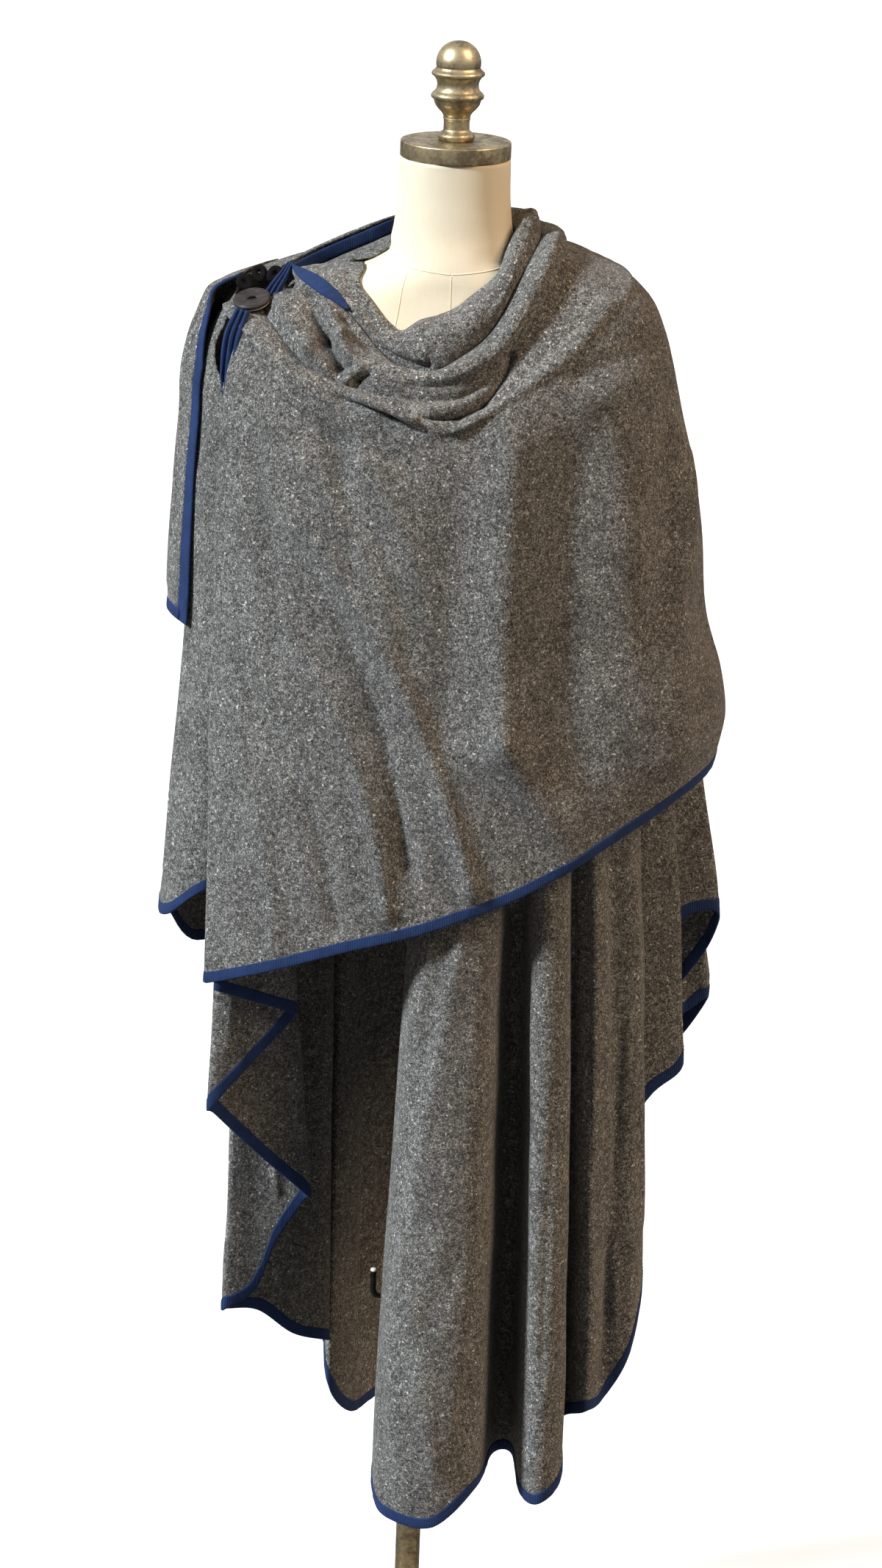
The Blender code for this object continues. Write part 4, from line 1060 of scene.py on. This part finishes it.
class CapeColours(bpy.types.PropertyGroup):
    wool_dark: bpy.props.FloatVectorProperty(
        name="Wool, dark", description="Gaps between the fibres", subtype="COLOR",
        default=(0.021, 0.020, 0.019))
    wool_mid: bpy.props.FloatVectorProperty(
        name="Wool, middle", description="Body of the wool", subtype="COLOR",
        default=(0.104, 0.101, 0.095))
    wool_light: bpy.props.FloatVectorProperty(
        name="Wool, light", description="Light fibres", subtype="COLOR",
        default=(0.33, 0.325, 0.31))
    wool_fleck: bpy.props.FloatVectorProperty(
        name="Wool, flecks", description="Pale flecks", subtype="COLOR",
        default=(0.62, 0.60, 0.56))
    binding: bpy.props.FloatVectorProperty(
        name="Binding", description="Blue of the binding", subtype="COLOR",
        default=(0.016, 0.040, 0.128))
    binding_shade: bpy.props.FloatVectorProperty(
        name="Binding, dark", description="Darker dye in the binding", subtype="COLOR",
        default=(0.009, 0.020, 0.068))
    linen: bpy.props.FloatVectorProperty(
        name="Linen", description="Cream of the dress form", subtype="COLOR",
        default=(0.86, 0.78, 0.62))
    linen_shade: bpy.props.FloatVectorProperty(
        name="Linen, dark", description="Yellowed patches", subtype="COLOR",
        default=(0.80, 0.70, 0.52))
    brass: bpy.props.FloatVectorProperty(
        name="Brass", description="Rubbed brass", subtype="COLOR", default=(0.52, 0.43, 0.27))
    tarnish: bpy.props.FloatVectorProperty(
        name="Tarnish", description="Dull brown brass", subtype="COLOR", default=(0.17, 0.135, 0.085))
    horn: bpy.props.FloatVectorProperty(
        name="Horn", description="Dark of the horn button", subtype="COLOR",
        default=(0.018, 0.015, 0.016))
    horn_streak: bpy.props.FloatVectorProperty(
        name="Horn streaks", description="Lighter streaks of the horn", subtype="COLOR",
        default=(0.050, 0.041, 0.039))


class CapeStage(bpy.types.PropertyGroup):
    key: bpy.props.FloatProperty(
        name="Key light", description="Strength of the cool light from the left", default=5.4, min=0)
    fill: bpy.props.FloatProperty(
        name="Fill light", description="Strength of the warm light from the right", default=2.1, min=0)
    room: bpy.props.FloatProperty(
        name="Room light", description="Strength of the light from all sides", default=0.06, min=0)


class CAPE_OT_linen_form(bpy.types.Operator):
    """Linen torso with its seams"""
    bl_idname = "cape.linen_form"
    bl_label = "Linen form"

    def execute(self, context):
        height = np.concatenate([
            np.linspace(TORSO_TOP, 1.52, 24), np.linspace(1.515, 1.43, 40), np.linspace(1.42, 0.935, 70),
            TORSO_FOOT + 0.006 * np.sin(np.radians([60, 40, 20, 0]))])[:, None]
        azimuth = np.linspace(0, 360, 240, endpoint=False)
        radius = ring(FORM, height, azimuth)
        radius[-4:] -= np.array([0.0008, 0.0025, 0.0045, 0.008])[:, None]
        rings = at_azimuth(radius, azimuth, height)
        places = np.stack(np.broadcast_arrays(azimuth * ARM * 0.6, height), axis=-1)
        mesh = loft_mesh(rings, places.reshape(-1, 2))
        add_piece("linen_cover", mesh, linen(), "form", "linen", "linen_torso")
        self.seams()
        return {"FINISHED"}

    def seams(self):
        """Raised seams: round the base of the neck, and down the centre and the sides."""
        azimuth = np.linspace(0, 360, 181)
        turn = np.radians(azimuth)
        height = 1.503 + 0.016 * (1 - np.cos(turn)) / 2 + 0.004 * np.abs(np.sin(turn))
        lines = {"neck": (azimuth, height)}
        share = np.linspace(0, 1, 120)
        for name, start, low in (("front", 0, 0), ("back", 180, 180), ("left", -38, -26),
                                 ("right", 38, 26), ("rear_left", 214, 206), ("rear_right", 146, 154)):
            lines[name] = (start + (low - start) * share, np.linspace(1.502, 0.94, 120))
        for name, (azimuth, height) in lines.items():
            path = at_azimuth(ring(FORM, height, azimuth) - 0.0002, azimuth, height)
            add_piece(f"linen_{name}_seam", tube_mesh(path, 0.0007, 8), linen(), "form", "linen")


class CAPE_OT_brass_top(bpy.types.Operator):
    """Neck cap and acorn finial"""
    bl_idname = "cape.brass_top"
    bl_label = "Cap and finial"

    def execute(self, context):
        low, radius, soft = CAP_TOP - 0.0157, 0.0525, 0.0015
        cap = [(0.020, CAP_TOP), *arc(radius - soft, CAP_TOP - soft, soft, 90, 0, 8),
               *arc(radius - soft, low + soft, soft, 0, -90, 8), (0.020, low)]
        add_piece("cap_plate", lathe_mesh(cap, 160), brass(), "form", "brass", "neck_cap")
        rows = np.arange(len(FINIAL["height"]))
        place = np.linspace(0, rows[-1], 200)
        radius, height = (spline(rows, FINIAL[name], place) for name in ("radius", "height"))
        outline = np.stack([radius, CAP_TOP + height], axis=-1)
        add_piece("acorn_finial", lathe_mesh(outline, 96, 60), brass(), "form", "brass", "finial")
        return {"FINISHED"}


class CAPE_OT_stand(bpy.types.Operator):
    """Pole, lower tube, base and clamp lever"""
    bl_idname = "cape.stand"
    bl_label = "Stand"

    def execute(self, context):
        flange = TORSO_FOOT - 0.0003
        pole = [(0.004, flange), (0.0250, flange), (0.0260, flange - 0.001), (0.0260, flange - 0.005),
                (0.0250, flange - 0.006), (0.0120, flange - 0.0065), (0.0100, flange - 0.009),
                (0.0100, 0.202), (0.0092, 0.200), (0.002, 0.200)]
        add_piece("sliding_pole", lathe_mesh(pole, 64), brass(), "form", "brass", "upper_pole")
        add_piece("outer_tube", self.tube(), brass(), "base", "brass", "lower_tube")
        radius, thick = 0.165, 0.014
        disc = [(0.010, thick + 0.0100), (0.0190, thick + 0.0098), (0.0215, thick + 0.0080),
                (0.0240, thick + 0.0052), (0.0320, thick + 0.0032), (0.0600, thick + 0.0020),
                (0.110, thick + 0.0010), (0.145, thick + 0.0002),
                *arc(radius - thick / 2, thick / 2, thick / 2, 90, -70, 14),
                (0.150, 0.0), (0.010, 0.0)]
        add_piece("foot_disc", lathe_mesh(disc, 160, 40), brass(), "base", "brass", "base_disc")
        add_piece("clamp_lever", self.lever(), black_steel(), "clamp", "black_steel", "clamp_screw")
        return {"FINISHED"}

    def tube(self):
        """Tube with an open bore and a collar at its top: a closed outline spun about Z."""
        outline = [
            (0.0104, 0.4530), (0.0180, 0.4530), (0.0190, 0.4520), (0.0190, 0.4262), (0.0182, 0.4250),
            (0.0135, 0.4245), (0.0125, 0.4230), (0.0125, 0.040), (0.0130, 0.034), (0.0150, 0.028),
            (0.0150, 0.0243), (0.0104, 0.0243), (0.0104, 0.044), (0.0104, 0.452)]
        mesh = torus_mesh(spin(outline, 64)[0])
        mesh.set_sharp_from_angle(angle=math.radians(40))
        return mesh

    def lever(self, height=0.438):
        """Bent rod: out from the collar, round a quarter turn, and up to a rounded tip."""
        path = [(-0.0193, 0, 0), (-0.025, 0, 0), (-0.032, 0, 0)]
        path += [(-0.036 - 0.008 * math.sin(a), 0, 0.008 - 0.008 * math.cos(a))
                 for a in np.radians(np.linspace(0, 90, 12))]
        path += [(-0.044, 0, up) for up in (0.016, 0.024, 0.0285, 0.0302, 0.0310)]
        radii = [0.0030] * (len(path) - 3) + [0.0034, 0.0030, 0.0016]
        return tube_mesh(np.array(path) + (0, 0, height), radii, 16)


class CAPE_OT_draped_neck(bpy.types.Operator):
    """The roll of the draped neck that lies on the form, and the bindings of the neck edge"""
    bl_idname = "cape.draped_neck"
    bl_label = "Draped neck"

    def execute(self, context):
        cloth = add_wool("neck_roll", inner_roll_points(), "cowl_inner_roll")
        back, front, wall = neck_band_points(), front_neck_lines(), 0.0026
        up = unit(np.cross(np.gradient(front[0], axis=0), front[1] - front[0]))
        bands = [
            add_band("neck_band_back", back[0], back[-1], normals(back)[4], "binding_back_neck", wall=wall),
            add_band("neck_band_front", *front, up, "binding_front_neck", wall=wall)]
        return {"FINISHED"}


class CAPE_OT_outer_wrap(bpy.types.Operator):
    """The outer layer with its two chest rolls, and its binding"""
    bl_idname = "cape.outer_wrap"
    bl_label = "Outer wrap"

    def execute(self, context):
        points = wrap_points()
        cloth = add_wool(
            "outer_wrap", points[:1 - WIDE_BAND], "front_wrap", "back_wrap", "cowl_outer_rolls")
        trim = bind_hem("wrap", points, WIDE_BAND, "binding_front_wrap", "binding_back_wrap")
        return {"FINISHED"}


class CAPE_OT_hanging_cloth(bpy.types.Operator):
    """The free hanging left front, back and right front, and their binding"""
    bl_idname = "cape.hanging_cloth"
    bl_label = "Hanging cloth"

    def execute(self, context):
        points = hanging_points()
        cloth = add_wool("hanging_cloth", points[:1 - NARROW_BAND], "left_front_panel",
                         "left_side_drape", "back_panel", "right_cascade")
        trim = bind_hem("hanging", points, NARROW_BAND, "binding_left_front_panel",
                        "binding_left_side_drape", "binding_back_panel", "binding_right_cascade")
        return {"FINISHED"}


class CAPE_OT_hanging_end(bpy.types.Operator):
    """The end of the wrap that hangs over the right shoulder, and its bindings"""
    bl_idname = "cape.hanging_end"
    bl_label = "Hanging end"

    def execute(self, context):
        points = tail_points()
        normal = normals(points)
        # Columns under the edge binding: the cloth and the hem's binding end inside it
        cover, middle = 6, 3
        cloth = add_wool("hanging_end", points[:1 - WIDE_BAND, middle + 1:], "tail")
        hem = add_band("end_hem_band", points[-WIDE_BAND - 1, middle:], points[-1, middle:],
                       normal[-WIDE_BAND // 2 - 1, middle:], "binding_tail_hem")
        # The edge's seam is lifted off the middle of the wool, to lie over it
        seam = points[:, cover] + normal[:, cover] * 0.0008
        edge = add_band("end_edge_band", seam, points[:, 0], normal[:, middle], "binding_tail_edge")
        return {"FINISHED"}


class CAPE_OT_gathers(bpy.types.Operator):
    """Pleated bindings that meet under the horn button"""
    bl_idname = "cape.gathers"
    bl_label = "Gathers"

    def execute(self, context):
        upper = gather_points(
            ((-0.1530, -0.003, 1.4975), (-0.1590, -0.015, 1.4885), (-0.1665, -0.0235, 1.4780),
             (-0.1745, -0.028, 1.4630)), (0.006, 0.010, 0.014, 0.016), (-0.3, -0.75, 0.6))
        lower = gather_points(
            ((-0.1955, -0.0515, 1.4610), (-0.2040, -0.0615, 1.4380), (-0.2082, -0.0645, 1.4050),
             (-0.2092, -0.0640, 1.3800)), (0.016, 0.020, 0.017, 0.006), (-0.5, -0.85, 0.1))
        for name, points in (("upper", upper), ("lower", lower)):
            mesh = recalc(shell_mesh(points, 0.0014))
            add_piece(name + "_pleats", mesh, tape(), "form", "binding", "binding_gather_" + name)
        return {"FINISHED"}


class CAPE_OT_fastening(bpy.types.Operator):
    """Horn button and the three black loops behind it"""
    bl_idname = "cape.fastening"
    bl_label = "Button and loops"

    def execute(self, context):
        self.button((-0.187, -0.034, 1.4660), 20, 0, -10)
        self.loops()
        return {"FINISHED"}

    def place(self, mesh, spot, lean, spin, turn):
        """Spin a mesh made at the origin, lean and turn it, and set it at its spot."""
        first = Matrix.Rotation(math.radians(spin), 4, "Z")
        tilt = Euler((math.radians(lean), math.radians(turn), 0)).to_matrix().to_4x4()
        mesh.transform(Matrix.Translation(spot) @ tilt @ first)
        return mesh

    def button(self, *where):
        """Dished disc with a rounded rim and two drilled holes, sewn on with black thread."""
        hole = 0.0034
        disc = lathe_mesh([
            (0.0005, 0.0036), (0.0060, 0.0036), (0.0100, 0.0038), (0.0128, 0.0044),
            *arc(0.0155, 0.0025, 0.0025, 84, -70, 14), (0.012, 0.0003), (0.004, 0.0003)], 96, 50)
        item = add_piece("horn_disc", disc, horn(), "form", "horn", "horn_button")
        drills = []
        for side in (-hole, hole):
            drill = bpy.data.objects.new("drill", lathe_mesh([(0.0016, 0.01), (0.0016, -0.01)], 24))
            drill.location = (side, 0, 0)
            bpy.context.collection.objects.link(drill)
            drills.append(drill)
            cut = item.modifiers.new("hole", "BOOLEAN")
            cut.object = drill
            cut.operation = "DIFFERENCE"
        graph = bpy.context.evaluated_depsgraph_get()
        drilled = bpy.data.meshes.new_from_object(item.evaluated_get(graph))
        item.modifiers.clear()
        for drill in drills:
            bpy.data.objects.remove(drill)
        item.data = self.place(drilled, *where)
        under = lathe_mesh([(0.006, 0.0006), (0.0172, 0.0010), (0.0168, -0.0006), (0.0130, -0.0016),
                            (0.006, -0.0020)], 72, 50)
        add_piece("button_underside", self.place(under, *where), pale_rim(), "form", "horn")
        half = [(hole, 0, -0.002), (hole, 0, 0.0026), (0.0028, 0, 0.0042), (0.0014, 0, 0.0047)]
        sewn = np.array([(-x, y, z) for x, y, z in half] + half[::-1])
        for k, side in enumerate((-0.0006, 0.0006)):
            strand = self.place(tube_mesh(sewn + (0, side, 0), 0.0008, 8), *where)
            add_piece(f"button_thread_{k}", strand, black_thread(), "form", "black_button")

    def loops(self, steps=72, sides=20):
        """Loops of thick black braid, narrow at the root, with a twisted surface.

        Two crossing ribs, |sin(2 turn + 9 t)| and |sin(2 turn - 9 t)|, thicken a ring.
        """
        t = np.linspace(0, 2 * math.pi, steps, endpoint=False)
        x = 0.0042 * np.sin(t) * (1 + 0.28 * np.cos(t))
        y = 0.0058 * np.cos(t) - 0.0004
        path = np.stack([x, y, np.zeros_like(x)], axis=-1)
        run = unit(np.roll(path, -1, axis=0) - np.roll(path, 1, axis=0))
        side = unit(np.cross(run, (0, 0, 1.0)))
        turn = np.linspace(0, 2 * math.pi, sides, endpoint=False)[None, :]
        twist = t[:, None] * 9
        ribbed = 0.09 * np.abs(np.sin(turn * 2 + twist)) + 0.07 * np.abs(np.sin(turn * 2 - twist))
        thick = 0.0031 * (1 + ribbed)
        grid = path[:, None] + side[:, None] * (np.cos(turn) * thick)[..., None]
        grid[..., 2] += np.sin(turn) * thick * 0.9 + 0.0016
        for k, (spot, lean, spin_by) in enumerate((
                ((-0.1955, -0.0110, 1.4785), 62, 50), ((-0.1822, -0.0060, 1.4868), 60, 8),
                ((-0.1672, -0.0080, 1.4872), 62, -44)), 1):
            mesh = self.place(torus_mesh(grid), spot, lean, spin_by, 0)
            add_piece(f"braid_loop_{k}", mesh, black_braid(), "form", "black_button", f"black_button_{k}")


class CAPE_OT_stage(bpy.types.Operator):
    """Floor, soft lights and the camera at the photo's viewing angle"""
    bl_idname = "cape.stage"
    bl_label = "Stage"

    def execute(self, context):
        stage = context.scene.cape_stage
        self.floor()
        self.sun("key_light", (54, 0, -64), stage.key, (0.90, 0.96, 1.0), 9)
        self.sun("fill_light", (47, 0, 68), stage.fill, (1.0, 0.72, 0.46), 30)
        self.room(context, stage.room)
        context.scene.view_settings.view_transform = "Standard"
        self.camera(context)
        return {"FINISHED"}

    def room(self, context, strength):
        """White room: full to the camera and most of it to reflections, faint as a light."""
        world = bpy.data.worlds.new("studio")
        world.use_nodes = True
        tree = world.node_tree
        path = tree.nodes.new("ShaderNodeLightPath").outputs
        mirrored = math_node(tree, "MULTIPLY", path["Is Glossy Ray"], 0.7)
        seen = math_node(tree, "ADD", path["Is Camera Ray"], mirrored, clamp=True)
        set_inputs(tree, tree.nodes["Background"], {
            "Color": (1, 1, 1, 1), "Strength": total(tree, (seen, 1.0 - strength), (strength, 1))})
        context.scene.world = world

    def floor(self, radius=60, sides=96):
        """Large flat disc just under the base."""
        turn = np.linspace(0, 2 * math.pi, sides, endpoint=False)
        corners = np.stack([radius * np.cos(turn), radius * np.sin(turn), np.zeros(sides) - 0.0005], axis=-1)
        mesh = fill_mesh(corners, [list(range(sides))])
        mesh.name = "floor"
        mesh.materials.append(pale_floor())
        item = bpy.data.objects.new("floor", mesh)
        bpy.context.collection.objects.link(item)

    def sun(self, name, turn, strength, colour, spread):
        """Soft light from one side, the same everywhere."""
        lamp = bpy.data.lights.new(name, "SUN")
        lamp.energy = strength
        lamp.color = colour
        lamp.angle = math.radians(spread)
        item = bpy.data.objects.new(name, lamp)
        item.rotation_euler = [math.radians(v) for v in turn]
        bpy.context.collection.objects.link(item)

    def camera(self, context):
        """Long lens, 4.5 m in front of the form, looking down on it, with a slight roll."""
        picture_height, focal_pixels, sensor = 2134, 6500, 36.0
        pitch, tilt = math.radians(17.18), math.radians(2.0)
        ahead = Vector((0, math.cos(pitch), -math.sin(pitch)))
        level = Vector((1, 0, 0))
        up = level.cross(ahead)
        right = math.cos(tilt) * level + math.sin(tilt) * up
        above = -math.sin(tilt) * level + math.cos(tilt) * up
        data = bpy.data.cameras.new("camera")
        data.sensor_width = sensor
        data.lens = focal_pixels / picture_height * sensor
        data.clip_end = 200
        item = bpy.data.objects.new("camera", data)
        turned = Matrix((right, above, -ahead)).transposed().to_4x4()
        item.matrix_world = Matrix.Translation((0.007, -4.48, 2.3697)) @ turned
        bpy.context.collection.objects.link(item)
        context.scene.camera = item


MAKERS = (
    CAPE_OT_linen_form, CAPE_OT_brass_top, CAPE_OT_stand, CAPE_OT_draped_neck, CAPE_OT_outer_wrap,
    CAPE_OT_hanging_cloth, CAPE_OT_hanging_end, CAPE_OT_gathers, CAPE_OT_fastening, CAPE_OT_stage,
)


class CAPE_PT_panel(bpy.types.Panel):
    """Pieces of the cape"""
    bl_label = "Wrap cape"
    bl_idname = "CAPE_PT_panel"
    bl_space_type = "VIEW_3D"
    bl_region_type = "UI"
    bl_category = "Cape"

    def draw(self, context):
        for maker in MAKERS:
            self.layout.operator(maker.bl_idname)
        for group in (context.scene.cape_sizes, context.scene.cape_colours, context.scene.cape_stage):
            for name in group.bl_rna.properties.keys():
                if name not in ("rna_type", "name"):
                    self.layout.prop(group, name)


CLASSES = (CapeSizes, CapeColours, CapeStage, *MAKERS, CAPE_PT_panel)


def register():
    """Register the classes and hang their properties on the scene."""
    for item in CLASSES:
        bpy.utils.register_class(item)
    bpy.types.Scene.cape_sizes = bpy.props.PointerProperty(type=CapeSizes)
    bpy.types.Scene.cape_colours = bpy.props.PointerProperty(type=CapeColours)
    bpy.types.Scene.cape_stage = bpy.props.PointerProperty(type=CapeStage)


def unregister():
    """Take the properties and the classes away again."""
    del bpy.types.Scene.cape_stage
    del bpy.types.Scene.cape_colours
    del bpy.types.Scene.cape_sizes
    for item in reversed(CLASSES):
        bpy.utils.unregister_class(item)


def main():
    """Make every piece in order."""
    register()
    for maker in MAKERS:
        group, name = maker.bl_idname.split(".")
        getattr(getattr(bpy.ops, group), name)()


if __name__ == "__main__":
    main()
